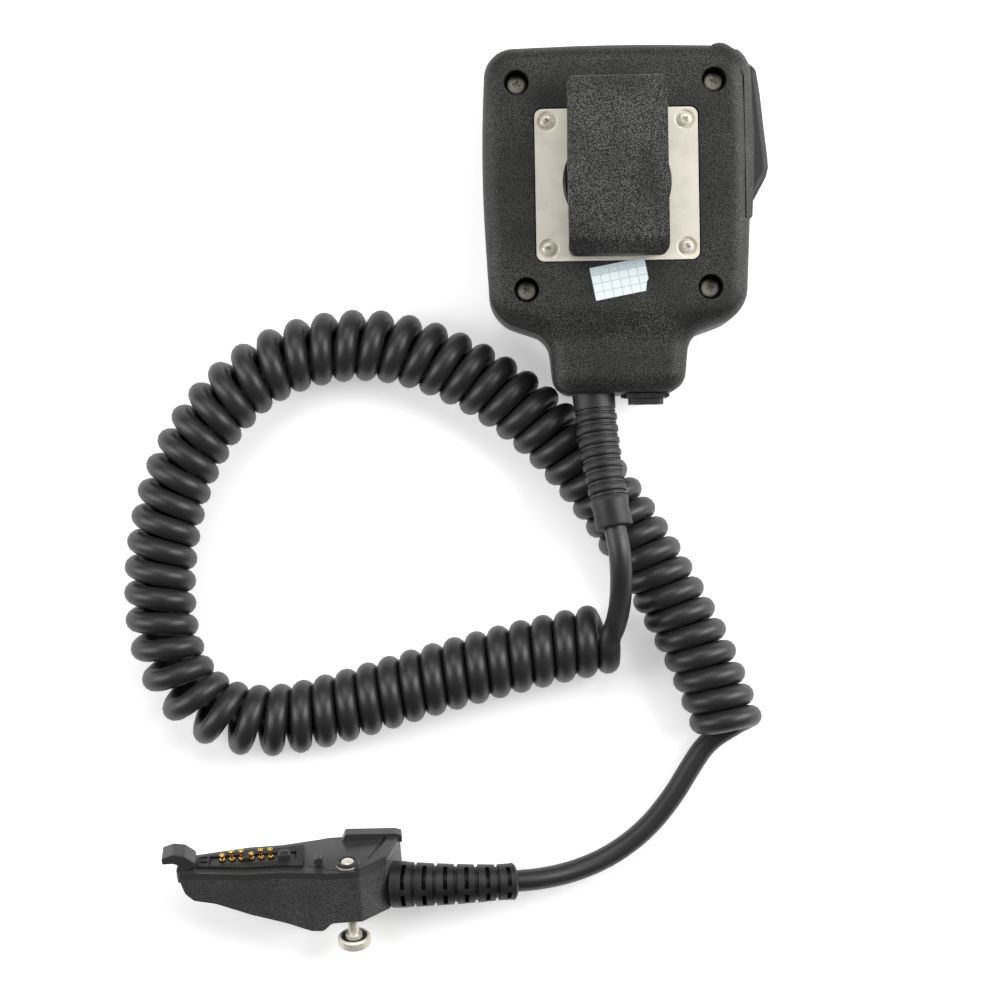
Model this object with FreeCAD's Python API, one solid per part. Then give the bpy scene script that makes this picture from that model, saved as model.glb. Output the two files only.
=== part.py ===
import FreeCAD
import Part
import math
import os

# Hand microphone with a belt clip, a curly cord and a side connector plug.
# Millimetres. The microphone lies on its grille: z = 0 is the table, +Z points
# out of its back, +Y towards the end away from the cord, +X towards the talk bar.
# The origin is on the grille face, on the axis that the belt clip swivels about.

os.makedirs("parts", exist_ok=True)
V = FreeCAD.Vector

# ---- driving dimensions: casing
casing_half_width = 30.1
casing_top = 31.0
casing_shoulder = -29.5
neck_half_width = 14.3
neck_end = -46.5
casing_depth = 30.0
neck_depth = casing_depth - 1.6
parting_height = 12.0
side_wall = 2.2
front_wall = 2.4
back_wall = 2.6
back_rounding = 4.2
front_rounding = 2.4
seal_width = 1.0
seal_height = 1.6
running_gap = 0.05
slip_gap = 0.3

# ---- driving dimensions: grille and speaker
grille_radius = 17.0
slot_width = 1.4
slot_pitch = 3.2
speaker_radius = 18.0
speaker_lip = 2.6
felt_thickness = 0.5
speaker_height = 9.2
magnet_radius = 8.5

# ---- driving dimensions: fasteners
case_screw_head_radius = 2.1
case_screw_radius = 1.25
case_screw_head_height = 1.4
case_screw_well_radius = 2.8
case_screw_well_wall = 1.3
case_screw_seat = casing_depth - 6.0
case_screw_tip = 5.0
case_screw_cross = 1.2
case_post_radius = 3.2
upper_screw_x = 21.9
upper_screw_y = 22.4
lower_screw_x = 20.4
lower_screw_y = -23.5
plate_screw_head_radius = 1.5
plate_screw_radius = 1.0
plate_screw_head_height = 0.7
plate_screw_length = 6.5
plate_screw_cross = 0.95
plate_post_radius = 2.4
plate_post_low = casing_depth - 9.0
plate_screw_x = 15.25
plate_screw_y = 14.1

# ---- driving dimensions: clip
plate_half_width = 18.1
plate_half_length = 16.9
plate_centre_y = -0.45
plate_thickness = 1.0
plate_recess = 1.2
plate_corner = 1.8
swivel_radius = 12.05
swivel_thickness = 1.8
hub_radius = 6.0
pocket_radius = 8.0
pocket_wall = 1.6
pocket_floor = casing_depth - 5.6
clip_half_width = 11.0
clip_jaw_y = -16.5
clip_tab_y = 22.5
clip_top = casing_depth + 10.0
clip_roof = 2.7
jaw_clearance = 0.25
clip_pivot_y = 6.0
clip_pivot_z = casing_depth + 4.6
clip_pin_radius = 1.2
clip_ear_radius = 2.6
clip_ear_thickness = 1.8
clip_ear_gap = 0.2
clip_drill_length = 40.0
base_ear_inner = 6.2
base_ear_thickness = 2.4
spring_wire = 0.8

# ---- driving dimensions: talk bar
bar_low_z = 6.5
bar_high_z = casing_depth - 1.6
bar_crown = 1.6
button_low_z = 8.7
button_high_z = casing_depth - 5.0
button_travel = 1.2
button_back = casing_half_width
button_low_y = -4.6
button_high_y = 27.4
frame_back = button_back - button_travel - slip_gap
stem_inner_x = casing_half_width - 5.3
stem_low_y = 3.0
stem_high_y = 9.0
stem_low_z = 14.0
stem_high_z = 19.0
plunger_radius = 1.0

# ---- driving dimensions: circuit board and microphone capsule
board_thickness = 1.2
board_half_width = 16.0
board_low_y = -28.5
board_high_y = 25.5
board_tab_low_y = 0.5
board_tab_high_y = 11.5
board_post_x = 13.5
board_post_low_y = -25.5
board_post_high_y = 22.5
board_post_radius = 1.9
mic_y = -38.0
mic_radius = 3.2
mic_height = 3.4
mic_boot_radius = 4.6
mic_boot_height = 5.0
mic_hole_radius = 0.8

# ---- driving dimensions: earphone jack and its cover
jack_x = 6.0
jack_z = 19.5
jack_bore_radius = 1.8
jack_nose_radius = 3.2
jack_bore_length = 12.0
cover_low_x = 1.3
cover_high_x = 10.6
cover_half_height = 4.6
cover_thickness = 2.4
cover_lip = 1.0
cover_bead = 0.5

# ---- driving dimensions: cord
cord_diameter = 5.0
curl_diameter = 16.4
relief_root_radius = 4.8
relief_tip_radius = 4.0
relief_neck_radius = 3.9
relief_x = -5.8
relief_z = 19.5
relief_bend = 19.0
lead_route = [
    (-1.6, -76.6, 24.0),
    (-0.6, -81.8, 25.0),
    (-0.3, -88.2, 23.6),
    (-0.6, -94.2, 19.4),
    (-1.5, -98.6, 15.4),
    (-2.6, -102.2, 13.2),
]
curl_route = [
    (-0.5, -101.2, 8.2),
    (-12.0, -103.2, 8.2),
    (-28.5, -106.8, 8.2),
    (-46.0, -111.3, 8.2),
    (-62.5, -116.1, 8.2),
    (-78.0, -119.6, 8.2),
    (-90.5, -118.6, 8.2),
    (-99.4, -112.0, 8.2),
    (-104.2, -101.6, 8.2),
    (-105.2, -89.0, 8.2),
    (-103.8, -75.0, 8.2),
    (-99.6, -61.0, 8.2),
    (-91.8, -48.4, 8.2),
    (-80.6, -38.8, 8.2),
    (-66.8, -34.2, 8.2),
    (-51.5, -34.0, 8.2),
    (-36.0, -39.6, 8.2),
    (-21.5, -48.8, 8.2),
    (-8.6, -61.6, 8.2),
    (2.6, -77.4, 8.2),
    (12.2, -94.2, 8.2),
    (19.8, -109.8, 8.2),
    (24.9, -125.2, 8.2),
]
tail_route = [
    (24.3, -123.6, 2.5),
    (19.6, -126.0, 2.5),
    (15.8, -131.4, 2.5),
    (11.4, -138.6, 2.6),
    (5.2, -146.0, 2.8),
    (-3.0, -151.9, 3.6),
    (-11.8, -155.2, 5.6),
    (-19.6, -156.4, 8.4),
    (-25.2, -156.6, 9.6),
]

# ---- driving dimensions: plug, in its own frame (a along it, n out of the
# contact face, w across it) before it is laid on the table
plug_x = -62.93
plug_y = -149.5
plug_heading = 2.75
plug_tilt = 25.0
plug_tip = -38.8
plug_end = 12.2
plug_near_end = 2.4
plug_end_a = 8.6
plug_end_w = 3.0
plug_half_tip = 3.6
plug_half_waist = 5.9
plug_half_heel = 7.4
plug_half_end = 7.85
plug_cover_thickness = 1.6
plug_heel_depth = 15.3
plug_back_depth = 13.1
flange_height = 1.9
flange_thickness = 3.2
rim_height = 1.2
rim_thickness = 1.0
contact_count = 6
contact_pitch = 2.2
contact_first = -28.4
contact_radius = 0.5
contact_reach = 3.0
contact_short_reach = 2.2
contact_travel = 1.2
contact_block_low = -31.0
contact_block_high = -12.0
contact_block_half = 1.5
contact_block_depth = 3.4
thumbscrew_radius = 1.25
thumbscrew_head_radius = 3.75
thumbscrew_head_thickness = 2.4
thumbscrew_offset = 4.6
thumbscrew_backed_out = 18.6
thumbscrew_tip = -0.8
washer_thickness = 0.6
boot_axis_depth = 8.6
boot_root_radius = 5.3
boot_tip_radius = 3.8
boot_start = 8.4


def box(x0, x1, y0, y1, z0, z1):
    """Box between two corners."""
    return Part.makeBox(x1 - x0, y1 - y0, z1 - z0, V(x0, y0, z0))


def rod(radius, base, direction, length):
    """Cylinder from a base point along a direction."""
    return Part.makeCylinder(radius, length, V(*base), V(*direction))


def disc(radius, z0, z1, x=0.0, y=0.0):
    """Upright cylinder between two heights."""
    return rod(radius, (x, y, z0), (0, 0, 1), z1 - z0)


def fuse(shapes):
    """All shapes as one solid."""
    whole = shapes[0]
    for shape in shapes[1:]:
        whole = whole.fuse(shape)
    return whole.removeSplitter()


def cut(shape, tools):
    """A shape with several others taken out of it."""
    for tool in tools:
        shape = shape.cut(tool)
    return shape


def rounded_outline(corners, z=0.0):
    """Closed wire of straight sides with an arc of its own radius at each corner."""
    count = len(corners)
    starts = []
    ends = []
    mids = []
    for i in range(count):
        x, y, radius = corners[i]
        here = V(x, y, z)
        before = V(corners[i - 1][0], corners[i - 1][1], z)
        after = V(corners[(i + 1) % count][0], corners[(i + 1) % count][1], z)
        back = (before - here).normalize()
        ahead = (after - here).normalize()
        half = back.getAngle(ahead) / 2
        reach = radius / math.tan(half)
        starts.append(here + back * reach)
        ends.append(here + ahead * reach)
        middle = (back + ahead).normalize()
        mids.append(here + middle * (radius / math.sin(half) - radius))
    edges = []
    for i in range(count):
        if corners[i][2] > 0:
            edges.append(Part.Arc(starts[i], mids[i], ends[i]).toShape())
        following = starts[(i + 1) % count]
        edges.append(Part.LineSegment(ends[i], following).toShape())
    return Part.Wire(edges)


def prism(wire, z0, z1):
    """Solid between two heights over a flat closed wire."""
    base = wire.copy()
    base.translate(V(0, 0, z0 - wire.BoundBox.ZMin))
    return Part.Face(base).extrude(V(0, 0, z1 - z0))


def edges_at(shape, z):
    """Edges of a shape that lie flat at one height."""
    found = []
    for edge in shape.Edges:
        bounds = edge.BoundBox
        if abs(bounds.ZMin - z) < 1e-4 and abs(bounds.ZMax - z) < 1e-4:
            found.append(edge)
    return found


def casing_outline(inset=0.0):
    """Outline of the casing seen from its back, moved inwards by an inset."""
    half = [
        (casing_half_width - 1.3, casing_top - 0.8, 6.5),
        (casing_half_width, 3.0, 260.0),
        (casing_half_width - 1.6, casing_shoulder, 8.0),
        (neck_half_width + 1.3, -34.0, 5.0),
        (neck_half_width, neck_end, 4.4),
    ]
    corners = [(0.0, casing_top, 380.0)]
    corners += half
    corners += [(-x, y, radius) for x, y, radius in reversed(half)]
    wire = rounded_outline(corners)
    if inset:
        wire = wire.makeOffset2D(-inset)
    return wire


def extruded(points, x0, x1):
    """Solid between two places along X over a closed outline given in Y and Z."""
    corners = [V(x0, y, z) for y, z in points]
    return Part.Face(Part.makePolygon(corners + [corners[0]])).extrude(V(x1 - x0, 0, 0))


def upper_shape(inset, low, high, neck_top, rounding):
    """Back half of the casing as a solid block, lower over the neck."""
    block = prism(casing_outline(inset), low, high)
    block = block.makeFillet(rounding, edges_at(block, high))
    clear = 5.0
    slope = [
        (casing_shoulder + 2.0, high + clear),
        (casing_shoulder + 2.0, high),
        (casing_shoulder - 5.0, neck_top),
        (neck_end - clear, neck_top),
        (neck_end - clear, high + clear),
    ]
    return block.cut(extruded(slope, -casing_half_width, casing_half_width))


def lower_shape(inset, low, high, rounding):
    """Front half of the casing as a solid block."""
    block = prism(casing_outline(inset), low, high)
    return block.makeFillet(rounding, edges_at(block, low))


def seal_ring(grow=0.0):
    """Ring between the two shells; grow widens it on its inner side."""
    low = parting_height - seal_height / 2
    high = parting_height + seal_height / 2
    outer = prism(casing_outline(side_wall - seal_width), low, high)
    return outer.cut(prism(casing_outline(side_wall + grow), low - 1, high + 1))


def case_screw_places():
    """The four corners that hold the shells together."""
    places = []
    for side in (-1, 1):
        places.append((side * upper_screw_x, upper_screw_y))
        places.append((side * lower_screw_x, lower_screw_y))
    return places


def plate_screw_places():
    """The four corners of the clip plate."""
    places = []
    for side in (-1, 1):
        for end in (-1, 1):
            places.append((side * plate_screw_x, plate_centre_y + end * plate_screw_y))
    return places


def bar_profile():
    """Outline of the talk bar's frame, wrapped round the casing's upper corner."""
    side = casing_half_width
    top = casing_top
    points = [
        V(frame_back, -8.2, 0),
        V(side - 0.1, -8.2, 0),
        V(side + 0.7, 6.0, 0),
        V(side + 1.1, 18.0, 0),
        V(side + 1.0, top - 6.8, 0),
        V(side, top - 3.8, 0),
        V(side - 2.2, top - 1.5, 0),
        V(side - 3.4, top - 1.7, 0),
        V(side - 5.5, top - 0.2, 0),
        V(side - 6.8, top, 0),
        V(side - 8.3, top - 0.5, 0),
        V(side - 8.8, top - 1.5, 0),
        V(side - 4.9, top - 2.7, 0),
        V(frame_back, top - 7.4, 0),
    ]
    return Part.makePolygon(points + [points[0]])


def bar_space():
    """Space that the talk bar's frame takes in the shells, open at the back."""
    return prism(bar_profile(), bar_low_z, casing_depth + 1)


def bar_frame_block():
    """The talk bar's frame as a solid, before its window."""
    block = prism(bar_profile(), bar_low_z, bar_high_z)
    crown = [e for e in edges_at(block, bar_high_z) if e.BoundBox.XMin > casing_half_width - 1.0]
    return block.makeFillet(bar_crown, crown)


def button_block():
    """The part of the talk button that stands in the frame's window."""
    side = casing_half_width
    low_end = V(button_back, button_low_y, 0)
    high_end = V(button_back, button_high_y, 0)
    low_corner = V(side + 0.9, button_low_y + 0.4, 0)
    crown = Part.BSplineCurve()
    crown.interpolate([
        V(side + 3.4, 1.2, 0),
        V(side + 3.9, 3.3, 0),
        V(side + 3.7, 6.0, 0),
        V(side + 3.0, 12.5, 0),
        V(side + 2.3, button_high_y - 7.6, 0),
        V(side + 1.5, button_high_y - 2.4, 0),
    ])
    edges = [
        Part.LineSegment(low_end, low_corner).toShape(),
        Part.LineSegment(low_corner, crown.StartPoint).toShape(),
        crown.toShape(),
        Part.LineSegment(crown.EndPoint, high_end).toShape(),
        Part.LineSegment(high_end, low_end).toShape(),
    ]
    return prism(Part.Wire(edges), button_low_z, button_high_z)


def button_window():
    """Space in the frame that the button slides in."""
    reach = casing_half_width + 6.0
    return box(frame_back, reach, button_low_y - slip_gap, button_high_y + slip_gap,
               button_low_z - slip_gap, button_high_z + slip_gap)


def stem_block(clearance=0.0):
    """Stem that carries the button's push through the wall."""
    return box(stem_inner_x, button_back, stem_low_y - clearance, stem_high_y + clearance,
               stem_low_z - clearance, stem_high_z + clearance)


def make_front_housing():
    """Front shell with the grille, the speaker ring and the screw posts."""
    shell = lower_shape(0.0, 0.0, parting_height, front_rounding)
    hollow = prism(casing_outline(side_wall), front_wall, parting_height + 1)
    shell = shell.cut(hollow)
    for x, y in case_screw_places():
        shell = shell.fuse(disc(case_post_radius, front_wall / 2, parting_height, x, y))
    ring = disc(speaker_radius + 1.8, front_wall / 2, front_wall + 3.6)
    shell = shell.fuse(ring.cut(disc(speaker_radius + running_gap, 0, parting_height)))
    for x, y in board_post_places():
        shell = shell.fuse(disc(board_post_radius, front_wall / 2, board_low(), x, y))
    tools = [seal_ring(1.0), bar_space(), stem_block(slip_gap)]
    for x, y in case_screw_places():
        tools.append(disc(case_screw_radius, case_screw_tip, parting_height + 1, x, y))
    tools.append(disc(mic_hole_radius, -1, front_wall + 1, 0, mic_y))
    count = int(grille_radius / slot_pitch)
    for i in range(-count, count + 1):
        y = (i + 0.5) * slot_pitch
        reach = grille_radius ** 2 - y ** 2
        if reach > 16.0:
            half = math.sqrt(reach)
            slot = box(-half, half, y - slot_width / 2, y + slot_width / 2, -1, front_wall + 1)
            tools.append(slot)
            tools.append(disc(slot_width / 2, -1, front_wall + 1, -half, y))
            tools.append(disc(slot_width / 2, -1, front_wall + 1, half, y))
    return cut(shell, tools)


def make_rear_cover():
    """Back shell with the clip's recess, the swivel pocket and the screw wells."""
    shell = upper_shape(0.0, parting_height, casing_depth, neck_depth, back_rounding)
    inner_top = casing_depth - back_wall
    inner_neck = neck_depth - back_wall
    hollow = upper_shape(side_wall, parting_height - 1, inner_top, inner_neck, back_rounding - 2.0)
    shell = shell.cut(hollow)
    posts = []
    for x, y in case_screw_places():
        well_wall = case_screw_well_radius + case_screw_well_wall
        posts.append(disc(well_wall, parting_height + 0.2, inner_top + 0.6, x, y))
    for x, y in plate_screw_places():
        posts.append(disc(plate_post_radius, plate_post_low, inner_top + 1, x, y))
    posts.append(disc(pocket_radius + pocket_wall, pocket_floor - pocket_wall, inner_top + 1))
    for post in posts:
        shell = shell.fuse(post)
    tools = [seal_ring(1.0), bar_space(), stem_block(slip_gap)]
    for x, y in case_screw_places():
        tools.append(disc(case_screw_well_radius, case_screw_seat, casing_depth + 1, x, y))
        tools.append(disc(case_screw_radius + 0.1, parting_height, case_screw_seat + 1, x, y))
    for x, y in plate_screw_places():
        low = casing_depth - plate_recess + plate_thickness - plate_screw_head_height - plate_screw_length
        tools.append(disc(plate_screw_radius, low, casing_depth, x, y))
    tools.append(disc(pocket_radius, pocket_floor, casing_depth + 1))
    recess = plate_block(0.25, casing_depth - plate_recess, casing_depth + 1)
    tools.append(recess)
    tools.append(rod(jack_nose_radius, (jack_x, neck_end - 1, jack_z), (0, 1, 0), 4))
    tools.append(rod(relief_neck_radius, (relief_x, neck_end - 1, relief_z), (0, 1, 0), 4))
    return cut(shell, tools)


def plate_block(grow, low, high):
    """Rounded rectangle of the clip plate, grown by a clearance."""
    x = plate_half_width + grow
    y = plate_half_length + grow
    corner = plate_corner + grow
    corners = [(-x, -y, corner), (x, -y, corner), (x, y, corner), (-x, y, corner)]
    block = prism(rounded_outline(corners), low, high)
    block.translate(V(0, plate_centre_y, 0))
    return block


def make_housing_seal():
    """Rubber ring in the joint between the shells, open where the bar and its stem pass."""
    return cut(seal_ring(), [bar_space(), stem_block(slip_gap)])


def cross_recess(x, y, top, size, depth):
    """Cross slot in a screw head."""
    width = size * 0.28
    one = box(x - size, x + size, y - width / 2, y + width / 2, top - depth, top + 1)
    two = box(x - width / 2, x + width / 2, y - size, y + size, top - depth, top + 1)
    return one.fuse(two)


def make_case_screws():
    """Four pan-head screws that hold the shells together."""
    screws = []
    for x, y in case_screw_places():
        top = case_screw_seat + case_screw_head_height
        head = disc(case_screw_head_radius, case_screw_seat, top, x, y)
        head = head.makeFillet(0.6, edges_at(head, top))
        shank = disc(case_screw_radius, case_screw_tip, case_screw_seat + 0.2, x, y)
        screw = head.fuse(shank).cut(cross_recess(x, y, top, case_screw_cross, 0.9))
        screws.append(screw)
    return Part.makeCompound(screws)


def plate_top():
    """Height of the clip plate's outer face."""
    return casing_depth - plate_recess + plate_thickness


def make_clip_plate():
    """Steel plate that holds the swivel on the back cover."""
    low = casing_depth - plate_recess
    plate = plate_block(0.0, low, plate_top())
    tools = [disc(hub_radius + 0.06, low - 1, casing_depth + 1)]
    sink = plate_top() - plate_screw_head_height
    for x, y in plate_screw_places():
        tools.append(disc(plate_screw_head_radius + 0.25, sink, casing_depth, x, y))
        tools.append(disc(plate_screw_radius + 0.1, low - 1, casing_depth, x, y))
    return cut(plate, tools)


def make_plate_screws():
    """Four small screws that hold the clip plate."""
    screws = []
    top = plate_top()
    seat = top - plate_screw_head_height
    for x, y in plate_screw_places():
        head = disc(plate_screw_head_radius, seat, top, x, y)
        head = head.makeFillet(0.3, edges_at(head, top))
        shank = disc(plate_screw_radius, seat - plate_screw_length, seat + 0.1, x, y)
        screws.append(head.fuse(shank).cut(cross_recess(x, y, top, plate_screw_cross, 0.45)))
    return Part.makeCompound(screws)


def hub_low():
    """Height of the swivel hub's end inside the pocket."""
    return casing_depth - plate_recess - 1.6


def clip_drill(clearance):
    """Round cut right through on the clip's pin."""
    start = (-clip_drill_length / 2, clip_pivot_y, clip_pivot_z)
    return rod(clip_pin_radius + clearance, start, (1, 0, 0), clip_drill_length)


def make_swivel_base():
    """Turning disc with its hub and the two ears that carry the clip's pin."""
    low = plate_top()
    top = low + swivel_thickness
    base = disc(swivel_radius, low, top)
    base = base.makeFillet(0.5, edges_at(base, top))
    parts = [base, disc(hub_radius, hub_low(), low + 0.5)]
    reach = clip_ear_radius - 0.4
    for inner in (base_ear_inner, -base_ear_inner - base_ear_thickness):
        outer = inner + base_ear_thickness
        parts.append(rod(reach, (inner, clip_pivot_y, clip_pivot_z), (1, 0, 0), base_ear_thickness))
        parts.append(box(inner, outer, clip_pivot_y - reach, clip_pivot_y + reach, top - 0.5, clip_pivot_z))
    return cut(fuse(parts), [clip_drill(running_gap), disc(1.0, hub_low() - 1, low + 0.5)])


def make_swivel_washer():
    """Spring washer that clamps the swivel to the plate from below."""
    low = hub_low() - 0.8
    washer = disc(pocket_radius - 0.5, low, hub_low())
    return washer.cut(disc(1.15, low - 1, hub_low() + 1))


def make_swivel_screw():
    """Screw from below that holds the washer on the hub."""
    seat = hub_low() - 0.8
    head = disc(2.0, seat - 0.9, seat)
    return head.fuse(disc(1.0, seat - 0.1, plate_top() + 0.4))


def clip_profile():
    """Side outline of the clip's arm: jaw, roof and press tab."""
    roof = clip_top - clip_roof
    tip = casing_depth + jaw_clearance
    points = [
        (clip_jaw_y + 0.5, tip),
        (clip_jaw_y, tip + 1.5),
        (clip_jaw_y, clip_top - 3.2),
        (clip_jaw_y + 3.2, clip_top),
        (clip_tab_y - 0.8, clip_top),
        (clip_tab_y, clip_top - 0.8),
        (clip_tab_y, roof - 1.2),
        (clip_tab_y - 1.6, roof - 1.2),
        (clip_tab_y - 2.6, roof),
        (clip_jaw_y + 5.6, roof),
        (clip_jaw_y + 3.0, roof - 2.0),
        (clip_jaw_y + 2.4, tip),
    ]
    return points


def make_clip():
    """Spring clip arm with two ears on the pin."""
    parts = [extruded(clip_profile(), -clip_half_width, clip_half_width)]
    low = clip_pivot_y - clip_ear_radius
    high = clip_pivot_y + clip_ear_radius
    for inner in (clip_pin_half() - clip_ear_thickness, -clip_pin_half()):
        outer = inner + clip_ear_thickness
        base = (inner, clip_pivot_y, clip_pivot_z)
        parts.append(rod(clip_ear_radius, base, (1, 0, 0), clip_ear_thickness))
        parts.append(box(inner, outer, low, high, clip_pivot_z, clip_top - 1.0))
    return fuse(parts).cut(clip_drill(0.0))


def clip_pin_half():
    """Half the length of the clip's pin."""
    return base_ear_inner + base_ear_thickness + clip_ear_gap + clip_ear_thickness


def make_clip_pin():
    """Steel pin through the clip's ears and the swivel's ears."""
    half = clip_pin_half()
    return rod(clip_pin_radius, (-half, clip_pivot_y, clip_pivot_z), (1, 0, 0), 2 * half)


def make_clip_spring():
    """Torsion spring round the pin: its wound body and its two legs."""
    outer = clip_pin_radius + 0.12 + spring_wire
    half = base_ear_inner - 0.6
    body = rod(outer, (-half, clip_pivot_y, clip_pivot_z), (1, 0, 0), 2 * half)
    roof = clip_top - clip_roof
    leg_height = clip_pivot_z + outer - spring_wire * 0.55
    rise = roof - spring_wire / 2 - leg_height
    run = 9.0
    length = math.hypot(run, rise)
    leg_x = half - spring_wire * 0.6
    low_height = clip_pivot_z - outer + spring_wire * 0.55
    upper = rod(spring_wire / 2, (-leg_x, clip_pivot_y, leg_height), (0, run, rise), length)
    lower = rod(spring_wire / 2, (leg_x, clip_pivot_y, low_height), (0, 1, 0), 3.2)
    return body.fuse([upper, lower]).cut(clip_drill(2 * running_gap))


def make_ptt_frame():
    """Frame of the talk bar, let into the casing's side."""
    window = button_window()
    return bar_frame_block().cut(window)


def make_ptt_button():
    """Talk button with its stem."""
    block = button_block()
    rim = []
    for z in (button_low_z, button_high_z):
        rim += [e for e in edges_at(block, z) if e.BoundBox.XMax > button_back + 3.0]
    block = block.makeFillet(1.0, rim)
    return block.fuse(stem_block()).removeSplitter()


def switch_y():
    """Middle of the talk switch along the casing."""
    return (stem_low_y + stem_high_y) / 2


def switch_z():
    """Middle of the talk switch's height."""
    return (stem_low_z + stem_high_z) / 2


def make_ptt_switch():
    """Body of the talk switch on the circuit board."""
    inner = stem_inner_x - 7.2
    body = box(inner, inner + 5.0, stem_low_y, stem_high_y, board_high(), stem_high_z)
    return body.cut(rod(plunger_radius + running_gap, (inner + 2.2, switch_y(), switch_z()), (1, 0, 0), 5))


def make_ptt_plunger():
    """Plunger of the talk switch, which the button's stem pushes."""
    length = 3.6
    return rod(plunger_radius, (stem_inner_x - length, switch_y(), switch_z()), (1, 0, 0), length)


def board_low():
    """Underside of the circuit board."""
    return front_wall + felt_thickness + speaker_height + 0.6


def board_high():
    """Upper face of the circuit board."""
    return board_low() + board_thickness


def board_post_places():
    """Posts in the front shell that carry the board."""
    return [(x, y) for x in (-board_post_x, board_post_x) for y in (board_post_low_y, board_post_high_y)]


def make_circuit_board():
    """Board with a tab for the talk switch."""
    rounding = 1.5
    x = board_half_width
    corners = [(-x, board_low_y, rounding), (x, board_low_y, rounding),
               (x, board_high_y, rounding), (-x, board_high_y, rounding)]
    board = prism(rounded_outline(corners), board_low(), board_high())
    tab_end = stem_inner_x - 1.6
    tab = box(x - 1.0, tab_end, board_tab_low_y, board_tab_high_y, board_low(), board_high())
    return board.fuse(tab).removeSplitter()


def make_board_components():
    """Amplifier chip, can capacitor and cord connector on the board."""
    top = board_high()
    chip = box(-11.0, -5.0, -6.0, 0.0, top, top + 1.5)
    small_chip = box(-2.0, 3.0, -20.0, -15.0, top, top + 1.2)
    capacitor = disc(2.5, top, top + 5.5, 9.5, -20.0)
    connector = box(-9.0, -1.0, -28.0, -23.5, top, top + 4.0)
    return Part.makeCompound([chip, small_chip, capacitor, connector])


def make_speaker_felt():
    """Dust felt behind the grille."""
    return disc(speaker_radius, front_wall, front_wall + felt_thickness)


def speaker_low():
    """Front of the speaker's rim."""
    return front_wall + felt_thickness


def make_speaker_frame():
    """Pressed basket of the loudspeaker."""
    low = speaker_low()
    flange = disc(speaker_radius, low, low + 1.2)
    cone = Part.makeCone(speaker_radius - 1.2, magnet_radius, speaker_height - 4.6, V(0, 0, low + 1.0))
    solid = flange.fuse(cone)
    depth = speaker_height - 4.6
    hollow = Part.makeCone(speaker_radius - 2.0, magnet_radius - 0.8, depth, V(0, 0, low + 0.2))
    return cut(solid, [hollow, disc(speaker_radius - speaker_lip, low - 1, low + 0.5),
                       disc(magnet_radius - 3.0, low, low + speaker_height)])


def make_speaker_cone():
    """Paper cone and surround, thin, inside the basket."""
    low = speaker_low()
    outer = Part.makeCone(speaker_radius - speaker_lip - 0.2, 4.2, 3.4, V(0, 0, low + 0.1))
    inner = Part.makeCone(speaker_radius - speaker_lip - 1.2, 3.4, 3.0, V(0, 0, low + 0.05))
    return outer.cut(inner)


def make_speaker_magnet():
    """Magnet pot on the back of the loudspeaker."""
    low = speaker_low() + speaker_height - 3.6
    return disc(magnet_radius, low, speaker_low() + speaker_height)


def make_microphone_boot():
    """Rubber cup that holds the microphone capsule behind its hole."""
    cup = disc(mic_boot_radius, front_wall, front_wall + mic_boot_height, 0, mic_y)
    seat = disc(mic_radius, front_wall + 1.0, front_wall + mic_boot_height + 1, 0, mic_y)
    return cut(cup, [seat, disc(mic_hole_radius, 0, front_wall + mic_boot_height, 0, mic_y)])


def make_microphone_capsule():
    """Electret capsule."""
    return disc(mic_radius, front_wall + 1.0, front_wall + 1.0 + mic_height, 0, mic_y)


def make_earphone_jack():
    """Earphone jack with its nose through the neck's end wall."""
    start = neck_end + side_wall
    body = box(jack_x - 4.2, jack_x + 4.2, start, start + 11.8, jack_z - 4.0, jack_z + 4.0)
    nose = rod(jack_nose_radius, (jack_x, neck_end, jack_z), (0, 1, 0), side_wall + 1)
    bore = rod(jack_bore_radius, (jack_x, neck_end - 1, jack_z), (0, 1, 0), jack_bore_length + 1)
    return body.fuse(nose).cut(bore)


def make_jack_cover():
    """Rubber cover that folds away from the earphone jack."""
    face = neck_end - 0.1
    low = jack_z - cover_half_height
    high = jack_z + cover_half_height
    lip = box(cover_low_x, cover_high_x, face - cover_lip, face, low, high)
    cap = box(cover_low_x + 0.8, cover_high_x - 0.4, face - cover_thickness, face - cover_lip / 2,
              low + 0.8, high - 0.8)
    bead = rod(cover_bead, (cover_high_x, face - cover_bead, low), (0, 0, 1), high - low)
    return fuse([lip, cap, bead])


def make_inspection_label():
    """Small paper label stuck on the back, askew."""
    label = box(-6.2, 6.2, -3.7, 3.7, casing_depth, casing_depth + 0.12)
    label.rotate(V(0, 0, 0), V(0, 0, 1), 10.5)
    label.translate(V(0.3, -21.5, 0))
    return label


def bend_points(start, middle, end, count):
    """Evenly spaced places and directions along a simple bend."""
    found = []
    for i in range(count + 1):
        t = i / count
        place = start * (1 - t) ** 2 + middle * (2 * t * (1 - t)) + end * t ** 2
        along = (middle - start) * (1 - t) + (end - middle) * t
        found.append((place, along.normalize()))
    return found


def tapered_bend(start, middle, end, root_radius, tip_radius, count=6):
    """Tapered round boot along a simple bend."""
    wires = []
    stations = bend_points(start, middle, end, count)
    for i, (place, along) in enumerate(stations):
        radius = root_radius + (tip_radius - root_radius) * i / count
        wires.append(Part.Wire(Part.Circle(place, along, radius).toShape()))
    return Part.makeLoft(wires, True, False)


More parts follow.
